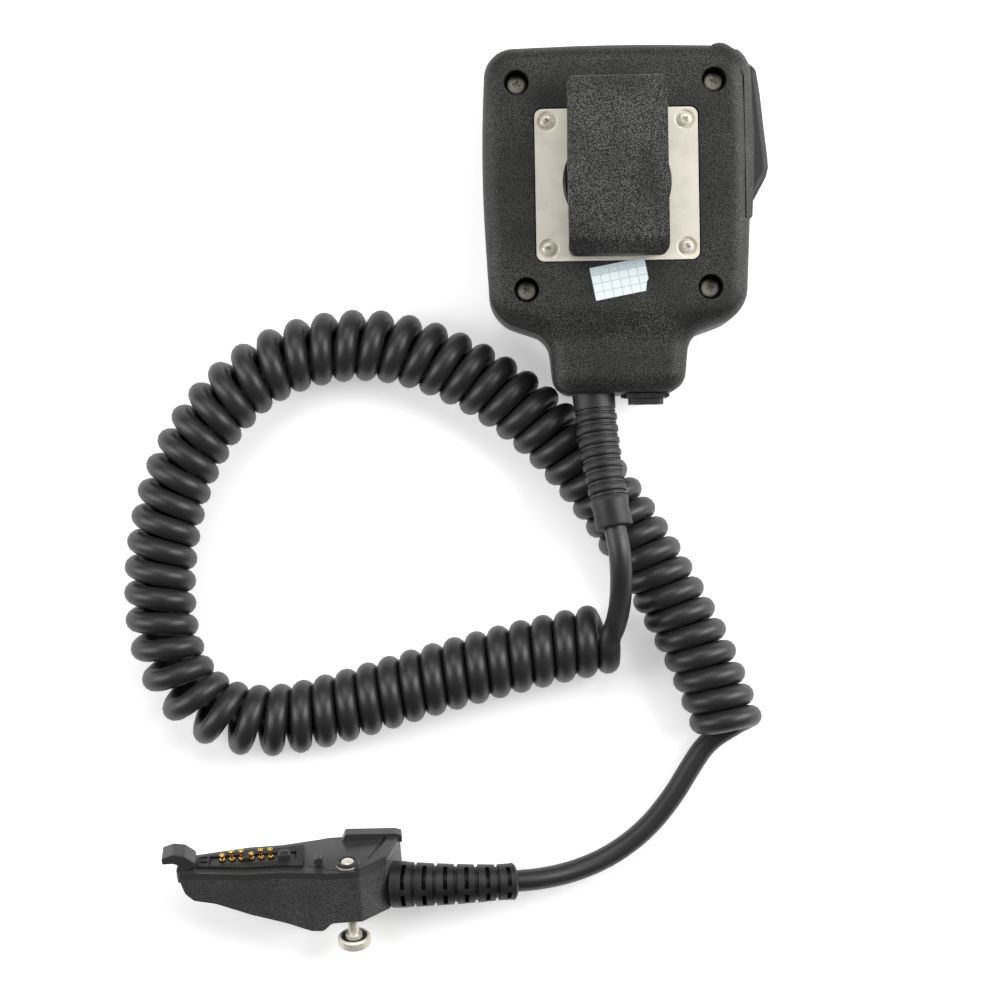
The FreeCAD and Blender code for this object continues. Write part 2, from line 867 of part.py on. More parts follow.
def make_strain_relief():
    """Tapered rubber boot at the neck, with its neck and flange in the wall."""
    start = V(relief_x, neck_end + 1.0, relief_z)
    end = V(*lead_route[0])
    along = (V(*lead_route[1]) - end).normalize()
    boot = tapered_bend(start, end - along * relief_bend, end, relief_root_radius, relief_tip_radius)
    boot = boot.cut(box(relief_x - 9, relief_x + 9, neck_end, neck_end + 9, relief_z - 9, relief_z + 9))
    neck = rod(relief_neck_radius, (relief_x, neck_end - 0.5, relief_z), (0, 1, 0), side_wall + 1.0)
    flange = rod(relief_root_radius, (relief_x, neck_end + side_wall, relief_z), (0, 1, 0), 1.4)
    return fuse([boot, neck, flange])


def tube_path(points, name):
    """Straight runs joined by tangent arcs, as large as the runs allow."""
    places = [V(*p) for p in points]
    edges = []
    radii = []
    here = places[0]
    for i in range(1, len(places) - 1):
        back = places[i - 1] - places[i]
        ahead = places[i + 1] - places[i]
        shorter = min(back.Length, ahead.Length)
        back.normalize()
        ahead.normalize()
        half_turn = (math.pi - back.getAngle(ahead)) / 2
        reach = 0.45 * shorter
        radius = reach / math.tan(half_turn)
        radii.append(round(radius, 1))
        first = places[i] + back * reach
        last = places[i] + ahead * reach
        middle = places[i] + (back + ahead).normalize() * (radius / math.cos(half_turn) - radius)
        edges.append(Part.LineSegment(here, first).toShape())
        edges.append(Part.Arc(first, middle, last).toShape())
        here = last
    edges.append(Part.LineSegment(here, places[-1]).toShape())
    path = Part.Wire(edges)
    print(name, "radii", radii, "length", round(path.Length, 1))
    return path


def tube(points, diameter, name):
    """Round tube along a route."""
    path = tube_path(points, name)
    along = (V(*points[1]) - V(*points[0])).normalize()
    ring = Part.Wire(Part.Circle(V(*points[0]), along, diameter / 2).toShape())
    solid = path.makePipeShell([ring], True, False)
    expected = math.pi * diameter ** 2 / 4 * path.Length
    print(name, "volume against section times length", round(solid.Volume / expected, 4))
    return solid


def plug_profile():
    """Side outline of the plug's moulding in its own frame, in the a and n plane."""
    return [
        (plug_tip, 0.0, 0.0),
        (plug_tip + 1.6, -5.4, 1.6),
        (plug_tip + 3.4, -7.2, 1.2),
        (plug_tip + 8.3, -7.9, 6.0),
        (-9.4, -plug_heel_depth, 2.6),
        (-6.6, -plug_heel_depth, 1.2),
        (-4.5, -plug_back_depth, 1.2),
        (plug_end - 2.4, -plug_back_depth, 0.8),
        (plug_end, -plug_back_depth + 2.6, 0.8),
        (plug_end, 0.0, 0.0),
    ]


def plug_plan(inset=0.0):
    """Outline of the contact face in the a and w plane, narrower towards the tip."""
    rounding = 1.2
    half = [
        (plug_tip, plug_half_tip),
        (-35.0, plug_half_tip + 0.4),
        (-22.5, plug_half_waist),
        (-15.0, plug_half_waist + 0.1),
        (-6.6, plug_half_heel),
        (-4.5, plug_half_end),
    ]
    end = [(plug_end, -plug_half_end), (plug_end_a, plug_end_w), (plug_near_end, plug_half_end)]
    corners = [(a, -w, rounding) for a, w in half]
    corners += [(a, w, rounding) for a, w in end]
    corners += [(a, w, rounding) for a, w in reversed(half)]
    wire = rounded_outline(corners)
    if inset:
        wire = wire.makeOffset2D(-inset)
    return wire


def plug_block(n0, n1, inset=0.0):
    """Slice of the plug between two depths, cut to both of its outlines."""
    plan = prism(plug_plan(inset), -30, 30)
    plan.rotate(V(0, 0, 0), V(1, 0, 0), 90)
    side = prism(rounded_outline(plug_profile()), -15, 15)
    if n1 > 0:
        side = side.fuse(box(plug_tip, plug_end, -1, n1, -15, 15))
    return side.common(plan).common(box(-80, 40, n0, n1, -20, 20))


def plug_rest_height():
    """Height of the plug frame's origin when the plug lies on its heel."""
    tilt = math.radians(plug_tilt)
    heel = plug_heel_depth * math.sin(tilt) + plug_half_heel * math.cos(tilt)
    head = (thumbscrew_backed_out + thumbscrew_head_thickness) * math.sin(tilt)
    head += (thumbscrew_head_radius - thumbscrew_offset) * math.cos(tilt)
    return max(heel, head)


def laid(shape):
    """A plug piece turned and laid on the table."""
    placed = shape.copy()
    placed.rotate(V(0, 0, 0), V(1, 0, 0), plug_tilt)
    placed.rotate(V(0, 0, 0), V(0, 0, 1), plug_heading)
    placed.translate(V(plug_x, plug_y, plug_rest_height()))
    return placed


def screw_bore(radius, n0, n1):
    """Round bar on the thumbscrew's axis."""
    return rod(radius, (0, n0, thumbscrew_offset), (0, 1, 0), n1 - n0)


def boot_bore(radius, a0, a1):
    """Round bar on the plug boot's axis."""
    return rod(radius, (a0, -boot_axis_depth, 0), (1, 0, 0), a1 - a0)


def make_plug_body():
    """Back half of the plug's casing with the textured sides."""
    body = plug_block(-30, -plug_cover_thickness)
    hollow = box(-33.0, -5.6, -6.2, 0, -2.9, 2.9)
    heart = box(-20.0, -5.6, -9.6, 0, -4.2, 4.2)
    bore = screw_bore(thumbscrew_radius + running_gap, -30, 1)
    return cut(body, [hollow, heart, boot_bore(3.2, -5.7, 30), bore, make_plug_hook()])


def make_plug_cover():
    """Contact-side plate with its raised rim, end wall and flange."""
    plate = plug_block(-plug_cover_thickness, 0)
    rim = plug_block(-0.5, rim_height, 1.3).cut(plug_block(-1, rim_height + 1, 1.3 + rim_thickness))
    rim = rim.common(box(plug_tip, -5.4, -2, 5, -15, 15))
    far = -plug_half_end - 0.4
    wall = box(-1.6, plug_end, -1.0, flange_height, far, far + flange_thickness)
    strip = [
        (plug_end - 2.6, far + 0.6),
        (plug_end, far + 0.6),
        (plug_end_a - 0.2, plug_end_w),
        (plug_near_end + 0.2, plug_half_end - 0.2),
        (plug_near_end - 0.8, plug_half_end - 1.3),
        (plug_end_a - 2.0, plug_end_w - 0.8),
    ]
    end = prism(rounded_outline([(a, w, 0.0) for a, w in strip]), -0.6, 0.3)
    end.rotate(V(0, 0, 0), V(1, 0, 0), 90)
    stop = box(-7.4, -5.6, -0.5, 2.6, 2.6, 5.2)
    solid = fuse([plate, rim, wall, end, stop])
    window = box(contact_block_low, contact_block_high, -3, 1, -contact_block_half, contact_block_half)
    return cut(solid, [window, screw_bore(2.6, -3, 3), make_plug_hook()])


def make_contact_block():
    """Insulating block that the contacts slide in."""
    block = box(contact_block_low, contact_block_high, -5.4, 0.3, -contact_block_half, contact_block_half)
    tools = []
    for i in range(contact_count):
        a = contact_first + i * contact_pitch
        tools.append(rod(contact_radius + 0.03, (a, -contact_block_depth, 0), (0, 1, 0), 6))
    return cut(block, tools)


def make_contact_pins():
    """Six gilt contacts, the first and the fourth shorter."""
    pins = []
    for i in range(contact_count):
        a = contact_first + i * contact_pitch
        reach = contact_short_reach if i % 3 == 0 else contact_reach
        low = contact_travel - contact_block_depth
        pin = rod(contact_radius, (a, low, 0), (0, 1, 0), reach - low - contact_radius)
        pins.append(pin.fuse(Part.makeSphere(contact_radius, V(a, reach - contact_radius, 0))))
    return Part.makeCompound([laid(p) for p in pins])


def make_contact_gasket():
    """Rubber gasket inside the plug's rim, round the contact block."""
    outer = plug_block(0.0, 0.7, 1.3 + rim_thickness).common(box(-34.2, -10.0, -2, 5, -15, 15))
    gap = 0.3
    half = contact_block_half + gap
    return outer.cut(box(contact_block_low - gap, contact_block_high + gap, -3, 3, -half, half))


def make_key_block():
    """Polarising key beside the contacts."""
    return box(-15.8, -13.0, 0.3, 1.7, -1.0, 1.0)


def make_plug_hook():
    """Hook at the plug's tip that engages the radio's side."""
    outline = [
        (-38.7, -3.0),
        (-36.6, -3.0),
        (-36.6, 0.0),
        (-34.4, 0.9),
        (-34.4, 2.0),
        (-36.6, 3.9),
        (-39.2, 4.4),
        (-41.8, 3.6),
        (-41.8, 1.8),
        (-39.4, 1.8),
        (-38.7, 1.0),
    ]
    points = [V(a, n, -2.7) for a, n in outline]
    return Part.Face(Part.makePolygon(points + [points[0]])).extrude(V(0, 0, 5.4))


def make_thumbscrew():
    """Knurled captive thumbscrew, backed out."""
    start = -thumbscrew_backed_out
    shaft = screw_bore(thumbscrew_radius, start - 0.5, thumbscrew_tip)
    head = screw_bore(thumbscrew_head_radius, start - thumbscrew_head_thickness, start)
    dish = screw_bore(thumbscrew_head_radius - 0.6, start - 0.5, start + 0.5)
    hub = screw_bore(1.9, start - 0.6, start)
    return fuse([head.cut(dish), hub, shaft])


def make_thumbscrew_washer():
    """Spring washer that slides in and out with the thumbscrew."""
    start = -thumbscrew_backed_out
    washer = screw_bore(1.9, start, start + washer_thickness)
    return washer.cut(screw_bore(thumbscrew_radius + running_gap, start - 1, start + 2))


def make_screw_collar():
    """Steel collar pressed into the plug where the thumbscrew comes through."""
    collar = screw_bore(2.6, -plug_cover_thickness, 0.5)
    return collar.cut(screw_bore(1.9, -5, 5))


def make_plug_boot():
    """Tapered rubber boot at the plug's end, with its flange inside."""
    start = V(boot_start, -boot_axis_depth, 0)
    placement = laid(Part.Vertex(start)).Point
    end = V(*tail_route[-1])
    along = (V(*tail_route[-2]) - end).normalize()
    middle = end - along * 11.0
    boot = tapered_bend(placement, middle, end, boot_root_radius, boot_tip_radius)
    root = laid(boot_bore(3.2, boot_start - 6.0, boot_start + 0.6))
    return boot.fuse(root).cut(laid(make_plug_body())).cut(laid(make_plug_cover()))


def checked_export(name, shape):
    """Write one node, telling its volume and any fault."""
    for solid in shape.Solids:
        if not solid.isValid() or solid.Volume <= 0:
            print("FAULT", name, solid.isValid(), solid.Volume)
    shape.exportStep("parts/" + name + ".step")
    bounds = shape.BoundBox
    low = (bounds.XMin, bounds.YMin, bounds.ZMin)
    high = (bounds.XMax, bounds.YMax, bounds.ZMax)
    print(name, len(shape.Solids), round(shape.Volume, 1), [round(v, 2) for v in low + high])


makers = {
    "front_housing": make_front_housing,
    "rear_cover": make_rear_cover,
    "housing_seal": make_housing_seal,
    "housing_screws": make_case_screws,
    "clip_plate": make_clip_plate,
    "clip_plate_screws": make_plate_screws,
    "swivel_base": make_swivel_base,
    "swivel_washer": make_swivel_washer,
    "swivel_screw": make_swivel_screw,
    "belt_clip": make_clip,
    "clip_pin": make_clip_pin,
    "clip_spring": make_clip_spring,
    "ptt_frame": make_ptt_frame,
    "ptt_button": make_ptt_button,
    "ptt_switch": make_ptt_switch,
    "ptt_plunger": make_ptt_plunger,
    "circuit_board": make_circuit_board,
    "board_components": make_board_components,
    "speaker_felt": make_speaker_felt,
    "speaker_frame": make_speaker_frame,
    "speaker_cone": make_speaker_cone,
    "speaker_magnet": make_speaker_magnet,
    "microphone_boot": make_microphone_boot,
    "microphone_capsule": make_microphone_capsule,
    "earphone_jack": make_earphone_jack,
    "jack_cover": make_jack_cover,
    "inspection_label": make_inspection_label,
    "strain_relief": make_strain_relief,
    "contact_pins": make_contact_pins,
    "plug_boot": make_plug_boot,
}
for name, maker in makers.items():
    checked_export(name, maker())

plug_makers = {
    "plug_body": make_plug_body,
    "plug_cover": make_plug_cover,
    "contact_block": make_contact_block,
    "contact_gasket": make_contact_gasket,
    "key_block": make_key_block,
    "plug_hook": make_plug_hook,
    "thumbscrew": make_thumbscrew,
    "thumbscrew_washer": make_thumbscrew_washer,
    "screw_collar": make_screw_collar,
}
for name, maker in plug_makers.items():
    checked_export(name, laid(maker()))

checked_export("cord_lead", tube(lead_route, cord_diameter, "cord_lead"))
checked_export("curly_cord", tube(curl_route, curl_diameter, "curly_cord"))
checked_export("cord_tail", tube(tail_route, cord_diameter, "cord_tail"))
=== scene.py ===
"""Finish of a hand microphone with a belt clip, a curly cord and a side plug, around its CAD frame.

Every size in the classes is in millimetres; Shape.piece turns a finished shape to metres.
"""
import logging
import math
from dataclasses import dataclass
from enum import Enum
from typing import Callable, Dict, List, Optional, Sequence, Tuple

import bmesh
import bpy
from mathutils import Matrix, Vector


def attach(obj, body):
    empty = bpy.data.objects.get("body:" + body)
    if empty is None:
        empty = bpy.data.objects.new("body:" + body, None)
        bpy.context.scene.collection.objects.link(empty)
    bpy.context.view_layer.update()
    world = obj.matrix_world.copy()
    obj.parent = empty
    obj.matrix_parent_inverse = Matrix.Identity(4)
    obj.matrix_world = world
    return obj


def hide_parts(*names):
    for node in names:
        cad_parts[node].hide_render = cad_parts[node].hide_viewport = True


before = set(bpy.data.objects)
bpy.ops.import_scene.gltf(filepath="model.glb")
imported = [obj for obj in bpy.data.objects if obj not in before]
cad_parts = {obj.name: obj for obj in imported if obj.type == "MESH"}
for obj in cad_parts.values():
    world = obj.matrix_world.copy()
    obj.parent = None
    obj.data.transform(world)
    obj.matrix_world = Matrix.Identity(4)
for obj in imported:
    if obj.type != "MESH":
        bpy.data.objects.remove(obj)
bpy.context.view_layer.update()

MM = 0.001
TINY = 1e-4
Corner = Tuple[float, float, float]
Place = Tuple[float, float, float]
log = logging.getLogger("hand_microphone")

# Local X, Y and Z of a slab turned to Y, Z and X, and to X, Z and -Y.
ON_SIDE = Matrix(((0, 0, 1, 0), (1, 0, 0, 0), (0, 1, 0, 0), (0, 0, 0, 1)))
ON_END = Matrix.Rotation(math.radians(90), 4, "X")
# Upright shapes turned so that their axis points out of the plug's contact face.
UP_OUT = ON_END.inverted()


def linear(code: str) -> Tuple[float, float, float, float]:
    """Turns an sRGB hex colour to the linear colour that a shader takes.

    Args:
        code: A hash sign and six hex digits.

    Returns:
        Red, green and blue, and an alpha of one.
    """
    shares = [int(code[i:i + 2], 16) / 255 for i in (1, 3, 5)]
    red, green, blue = (s / 12.92 if s <= 0.04045 else ((s + 0.055) / 1.055) ** 2.4 for s in shares)
    return red, green, blue, 1.0


def pitch(size: float) -> float:
    """Texture scale, in cells per metre, of a pattern whose cells are size millimetres wide."""
    return 1 / (size * MM)


def add_node(tree: bpy.types.NodeTree, kind: str, inputs: Optional[Dict] = None, **settings) -> bpy.types.Node:
    """Adds one shader node with its settings and links.

    Args:
        tree: Node tree of a material or the world.
        kind: Node type, without its ShaderNode prefix.
        inputs: Value, or output socket to link, for each input name or index.
        **settings: Properties of the node itself.

    Returns:
        The new node.
    """
    node = tree.nodes.new("ShaderNode" + kind)
    for name, value in settings.items():
        setattr(node, name, value)
    for key, value in (inputs or {}).items():
        if isinstance(value, bpy.types.NodeSocket):
            tree.links.new(value, node.inputs[key])
        else:
            node.inputs[key].default_value = value
    return node


@dataclass(frozen=True)
class Finish:
    """A surface: the material's common name, its sRGB colour and its roughness."""

    name: str
    colour: str
    roughness: float

    def material(self) -> bpy.types.Material:
        """Makes the material once.

        Returns:
            The material, the same one for every piece that asks.
        """
        made = bpy.data.materials.get(self.name)
        if made is None:
            made = bpy.data.materials.new(self.name)
            made.use_nodes = True
            shader = made.node_tree.nodes["Principled BSDF"]
            shader.inputs["Base Color"].default_value = linear(self.colour)
            shader.inputs["Roughness"].default_value = self.roughness
            self.draw(made.node_tree, shader)
        return made

    def draw(self, tree: bpy.types.NodeTree, shader: bpy.types.Node) -> None:
        """Draws what this kind of finish adds; a plain one adds nothing."""

    def tie(self, tree: bpy.types.NodeTree, shader: bpy.types.Node, height: bpy.types.NodeSocket,
            relief: float, tint: str, share: bpy.types.NodeSocket, spread: float) -> None:
        """Ties a pattern to the shader's colour, roughness and relief.

        Args:
            tree: Node tree of the material.
            shader: Its Principled shader.
            height: Height of the surface, from 0 to 1.
            relief: Depth of the pattern in millimetres.
            tint: Second colour of the surface.
            share: How much of the second colour shows, from 0 to 1.
            spread: How far the roughness moves to each side.
        """
        blend = add_node(tree, "Mix", {0: share, 6: linear(self.colour), 7: linear(tint)}, data_type="RGBA")
        tree.links.new(blend.outputs[2], shader.inputs["Base Color"])
        polish = add_node(tree, "MapRange", {"Value": height, "To Min": self.roughness + spread,
                                             "To Max": self.roughness - spread})
        tree.links.new(polish.outputs["Result"], shader.inputs["Roughness"])
        bump = add_node(tree, "Bump", {"Height": height, "Strength": 1.0, "Distance": relief * MM})
        tree.links.new(bump.outputs["Normal"], shader.inputs["Normal"])


@dataclass(frozen=True)
class MouldedPlastic(Finish):
    """Injection-moulded ABS from a spark-eroded tool: rounded grains, with a painted highlight, a lighter colour, on
    their tops.
    """

    # tops is the colour of the painted highlight on the grain's crests; the share after it sets how much of that
    # highlight shows.
    tops: str = "#565654"
    grain: float = 0.45
    relief: float = 0.05
    painted_sheen_share: float = 0.5
    gloss: float = 0.5
    smooth_end: float = -1000.0

    def draw(self, tree: bpy.types.NodeTree, shader: bpy.types.Node) -> None:
        """Draws the grain, a painted highlight on its tops, where the roughness is also lower, and a faint flow of
        the moulding.

        Args:
            tree: Node tree of the material.
            shader: Its Principled shader.
        """
        place = add_node(tree, "TexCoord").outputs["Object"]
        cells = add_node(tree, "TexNoise", {"Vector": place, "Scale": pitch(self.grain), "Detail": 2.0,
                                            "Roughness": 0.6})
        coarse = add_node(tree, "TexVoronoi", {"Vector": place, "Scale": pitch(self.grain * 1.6)}, feature="F1")
        height = add_node(tree, "Math", {0: cells.outputs[0], 1: 0.75, 2: 0.0}, operation="MULTIPLY_ADD")
        pit = add_node(tree, "Math", {0: coarse.outputs["Distance"], 1: -0.3, 2: 0.3}, operation="MULTIPLY_ADD")
        height = add_node(tree, "Math", {0: height.outputs[0], 1: pit.outputs[0]}, operation="ADD")
        along = add_node(tree, "SeparateXYZ", {0: place}).outputs[1]
        grained = add_node(tree, "MapRange", {"Value": along, "From Min": (self.smooth_end - 0.8) * MM,
                                              "From Max": (self.smooth_end + 0.8) * MM, "To Min": 0.45})
        # Painted highlight: where the grain is highest, the lighter tops colour is mixed into the base colour.
        crest = add_node(tree, "MapRange", {"Value": height.outputs[0], "From Min": 0.5, "From Max": 0.64,
                                            "To Max": self.painted_sheen_share}, interpolation_type="SMOOTHSTEP")
        flow = add_node(tree, "TexNoise", {"Vector": place, "Scale": pitch(9.0), "Detail": 1.0})
        height = add_node(tree, "Math", {0: height.outputs[0], 1: grained.outputs["Result"]}, operation="MULTIPLY")
        share = add_node(tree, "Math", {0: crest.outputs["Result"], 1: flow.outputs[0]}, operation="MULTIPLY")
        shader.inputs["IOR"].default_value = 1.54
        shader.inputs["Specular IOR Level"].default_value = self.gloss
        self.tie(tree, shader, height.outputs[0], self.relief, self.tops, share.outputs[0], 0.1)


@dataclass(frozen=True)
class Elastomer(Finish):
    """Moulded or extruded rubber and polyurethane: smooth, with a grey bloom and faint scuffs."""

    bloom: str = "#343434"
    grain: float = 0.3
    relief: float = 0.012
    scuff: float = 5.0

    def draw(self, tree: bpy.types.NodeTree, shader: bpy.types.Node) -> None:
        """Draws a fine skin, a patchy bloom and faint scuffs.

        Args:
            tree: Node tree of the material.
            shader: Its Principled shader.
        """
        place = add_node(tree, "TexCoord").outputs["Object"]
        skin = add_node(tree, "TexNoise", {"Vector": place, "Scale": pitch(self.grain), "Detail": 3.0})
        patch = add_node(tree, "TexNoise", {"Vector": place, "Scale": pitch(self.scuff), "Detail": 4.0,
                                            "Distortion": 0.6})
        share = add_node(tree, "MapRange", {"Value": patch.outputs[0], "From Min": 0.42, "From Max": 0.72,
                                            "To Max": 0.6})
        shader.inputs["IOR"].default_value = 1.5
        self.tie(tree, shader, skin.outputs[0], self.relief, self.bloom, share.outputs["Result"], 0.06)


class Lay(Enum):
    """How a metal surface was worked: the stretch of its marks along X, Y and Z."""

    BRUSHED = (1.0, 0.03, 0.03)
    TURNED = (1.0, 1.0, 0.2)
    PLATED = (1.0, 1.0, 1.0)


@dataclass(frozen=True)
class Metal(Finish):
    """Bare or plated metal, with the fine marks of how it was worked and a faint stain."""

    stain: str = "#a89c88"
    lay: Lay = Lay.PLATED
    mark: float = 0.25
    relief: float = 0.004
    bare: float = 1.0

    def draw(self, tree: bpy.types.NodeTree, shader: bpy.types.Node) -> None:
        """Draws the marks along the lay, and a stain in large soft patches.

        Args:
            tree: Node tree of the material.
            shader: Its Principled shader.
        """
        place = add_node(tree, "TexCoord").outputs["Object"]
        along = add_node(tree, "Mapping", {"Vector": place, "Scale": self.lay.value})
        marks = add_node(tree, "TexNoise", {"Vector": along.outputs[0], "Scale": pitch(self.mark), "Detail": 5.0})
        cloud = add_node(tree, "TexNoise", {"Vector": place, "Scale": pitch(4.0), "Detail": 2.0})
        share = add_node(tree, "MapRange", {"Value": cloud.outputs[0], "From Min": 0.45, "From Max": 0.8,
                                            "To Max": 0.6})
        shader.inputs["Metallic"].default_value = self.bare
        self.tie(tree, shader, marks.outputs[0], self.relief, self.stain, share.outputs["Result"], 0.05)


@dataclass(frozen=True)
class Fibre(Finish):
    """Felt or pressed paper: tangled fibres that scatter light at a glance."""

    strand: str = "#3a3a3a"
    width: float = 0.3

    def draw(self, tree: bpy.types.NodeTree, shader: bpy.types.Node) -> None:
        """Draws stretched strands in two layers.

        Args:
            tree: Node tree of the material.
            shader: Its Principled shader.
        """
        place = add_node(tree, "TexCoord").outputs["Object"]
        tangle = add_node(tree, "TexNoise", {"Vector": place, "Scale": pitch(self.width * 4), "Detail": 6.0,
                                             "Distortion": 3.0})
        shader.inputs["Sheen Weight"].default_value = 0.3
        self.tie(tree, shader, tangle.outputs[0], self.width / 3, self.strand, tangle.outputs[0], 0.03)


@dataclass(frozen=True)
class Laminate(Finish):
    """Glass-fibre circuit board under solder mask, with copper tracks showing through."""

    track: str = "#2f7a4a"
    track_pitch: float = 2.5

    def draw(self, tree: bpy.types.NodeTree, shader: bpy.types.Node) -> None:
        """Draws the tracks as a grid of brick edges, raised a little.

        Args:
            tree: Node tree of the material.
            shader: Its Principled shader.
        """
        place = add_node(tree, "TexCoord").outputs["Object"]
        grid = add_node(tree, "TexBrick", {"Vector": place, "Scale": pitch(self.track_pitch), "Mortar Size": 0.06,
                                           "Brick Width": 2.0, "Row Height": 0.5})
        shader.inputs["Coat Weight"].default_value = 0.4
        self.tie(tree, shader, grid.outputs["Fac"], 0.03, self.track, grid.outputs["Fac"], 0.05)


@dataclass(frozen=True)
class PrintedPaper(Finish):
    """Coated paper label with ruled boxes in pale blue ink; it carries no writing."""

    ink: str = "#4f8796"
    turn: float = 10.5
    centre: Place = (0.3, -21.5, 30.0)
    box: Tuple[float, float] = (2.05, 1.85)

    def draw(self, tree: bpy.types.NodeTree, shader: bpy.types.Node) -> None:
        """Draws rules between boxes, a tinted head row and the paper's tooth.

        Args:
            tree: Node tree of the material.
            shader: Its Principled shader.
        """
        place = add_node(tree, "TexCoord").outputs["Object"]
        centre = tuple(c * MM for c in self.centre)
        flat = add_node(tree, "Mapping", {"Vector": place, "Location": centre,
                                          "Rotation": (0, 0, math.radians(self.turn))}, vector_type="TEXTURE")
        rules = add_node(tree, "TexBrick", {"Vector": flat.outputs[0], "Scale": 1 / MM, "Mortar Size": 0.09,
                                            "Brick Width": self.box[0], "Row Height": self.box[1],
                                            "Mortar Smooth": 0.2}, offset=0.0)
        sides = add_node(tree, "SeparateXYZ", {0: flat.outputs[0]})
        head = add_node(tree, "MapRange", {"Value": sides.outputs[1], "From Min": 1.75 * MM, "From Max": 1.95 * MM,
                                           "To Max": 0.55})
        soak = add_node(tree, "TexNoise", {"Vector": place, "Scale": pitch(0.5), "Detail": 3.0})
        patch = add_node(tree, "Math", {0: rules.outputs["Fac"], 1: head.outputs["Result"]}, operation="MAXIMUM")
        share = add_node(tree, "Math", {0: patch.outputs[0], 1: soak.outputs[0]}, operation="MULTIPLY")
        self.tie(tree, shader, soak.outputs[0], 0.01, self.ink, share.outputs[0], 0.05)


@dataclass(frozen=True)
class StudioBoard(Finish):
    """Matt white table board of the studio, lit a little from below, with a faint mottle."""

    shade: str = "#f4f4f4"
    glow: float = 0.5

    def draw(self, tree: bpy.types.NodeTree, shader: bpy.types.Node) -> None:
        """Draws the mottle.

        Args:
            tree: Node tree of the material.
            shader: Its Principled shader.
        """
        place = add_node(tree, "TexCoord").outputs["Object"]
        mottle = add_node(tree, "TexNoise", {"Vector": place, "Scale": pitch(40.0), "Detail": 2.0})
        shader.inputs["Emission Color"].default_value = linear(self.shade)
        shader.inputs["Emission Strength"].default_value = self.glow
        self.tie(tree, shader, mottle.outputs[0], 0.01, self.shade, mottle.outputs[0], 0.02)


# Black ABS of the shells, the clip and the talk bar: one resin, eroded coarser on the clip. Their tops colours are
# painted highlights on the grain's crests.
CASING_ABS = MouldedPlastic("moulded_abs_casing", "#141413", 0.5, tops="#646461", grain=0.2, relief=0.06,
                            painted_sheen_share=1.0, gloss=0.3)
CLIP_ABS = MouldedPlastic("moulded_abs_clip", "#0d0d0d", 0.42, tops="#8d8d8a", grain=0.2, relief=0.09,
                          painted_sheen_share=1.0, gloss=0.3, smooth_end=-13.6)
# The turning disc is near-black: black resin, darkened further as painted shade from the clip over it.
DISC_ABS_PAINTED_SHADE = MouldedPlastic("polished_abs_disc_painted_shade", "#050505", 0.34, tops="#0c0c0c", grain=0.3, relief=0.01, gloss=0.3)
BUTTON_RUBBER = Elastomer("silicone_rubber_button", "#1b1b1b", 0.55, bloom="#282828")
# The plug's side is eroded deeply, its contact face is left smooth from the tool. The tops colours here too are
# painted highlights on the grain's crests.
PLUG_ABS = MouldedPlastic("grained_abs_plug", "#303030", 0.48, tops="#7c7c7c", grain=0.2, relief=0.1, painted_sheen_share=0.9)
FACE_ABS = MouldedPlastic("smooth_abs_plug_face", "#363636", 0.4, tops="#444444", grain=0.4, relief=0.01,
                          painted_sheen_share=0.2)
INNER_ABS = MouldedPlastic("moulded_abs_inner", "#262626", 0.5, tops="#3a3a3a", grain=0.5, relief=0.02)
# Extruded polyurethane jacket: satin, a little greasy to the eye; the boots are duller rubber.
JACKET = Elastomer("polyurethane_jacket", "#262626", 0.42, bloom="#2e2e2e", grain=0.5, relief=0.008, scuff=7.0)
BOOT_RUBBER = Elastomer("moulded_pvc_boot", "#151515", 0.5)
SOFT_RUBBER = Elastomer("nitrile_rubber", "#161616", 0.6)
# Rolled stainless sheet, satin from the mill, warm where it mirrors the table.
SATIN_STEEL = Metal("rolled_stainless_steel", "#f6f1e2", 0.36, stain="#ddd6c4", lay=Lay.BRUSHED, mark=0.2,
                     bare=0.12)
SPRING_STEEL = Metal("drawn_spring_steel", "#b9b6ae", 0.3, stain="#8f8a80", lay=Lay.TURNED)
# Nickel-plated screws: bright and slightly yellow, soft from tumbling.
NICKEL = Metal("nickel_plate", "#f1ebdf", 0.3, stain="#b3a48c", mark=0.35, relief=0.01, bare=0.35)
GILT = Metal("gilt_plate", "#f0c56a", 0.22, stain="#c9923f", mark=0.2)
ALUMINIUM = Metal("drawn_aluminium", "#d5d7d9", 0.32, stain="#a8abae")
FERRITE = Metal("sintered_ferrite", "#4a4a4d", 0.55, stain="#38383a", mark=0.5, relief=0.02)
FELT = Fibre("acoustic_felt", "#1a1a1a", 0.9)
CONE_PAPER = Fibre("pressed_cone_paper", "#2b2724", 0.85, strand="#4a423b", width=0.2)
BOARD = Laminate("solder_masked_laminate", "#14522f", 0.4)
LABEL_PAPER = PrintedPaper("coated_label_paper", "#e6eff1", 0.55)
TABLE = StudioBoard("white_table_board", "#fafafa", 0.8)


def four_corners(x0: float, y0: float, x1: float, y1: float, radius: float) -> List[Corner]:
    """Rounded rectangle between two opposite corners, anticlockwise."""
    return [(x0, y0, radius), (x1, y0, radius), (x1, y1, radius), (x0, y1, radius)]


def mirrored(half: Sequence[Tuple[float, float]], radius: float) -> List[Corner]:
    """One side of an outline, given from end to end, and its mirror image back."""
    return [(a, -w, radius) for a, w in half] + [(a, w, radius) for a, w in reversed(half)]


class Join(Enum):
    """How a second shape changes the first."""

    ADD = "UNION"
    CUT = "DIFFERENCE"
    COMMON = "INTERSECT"


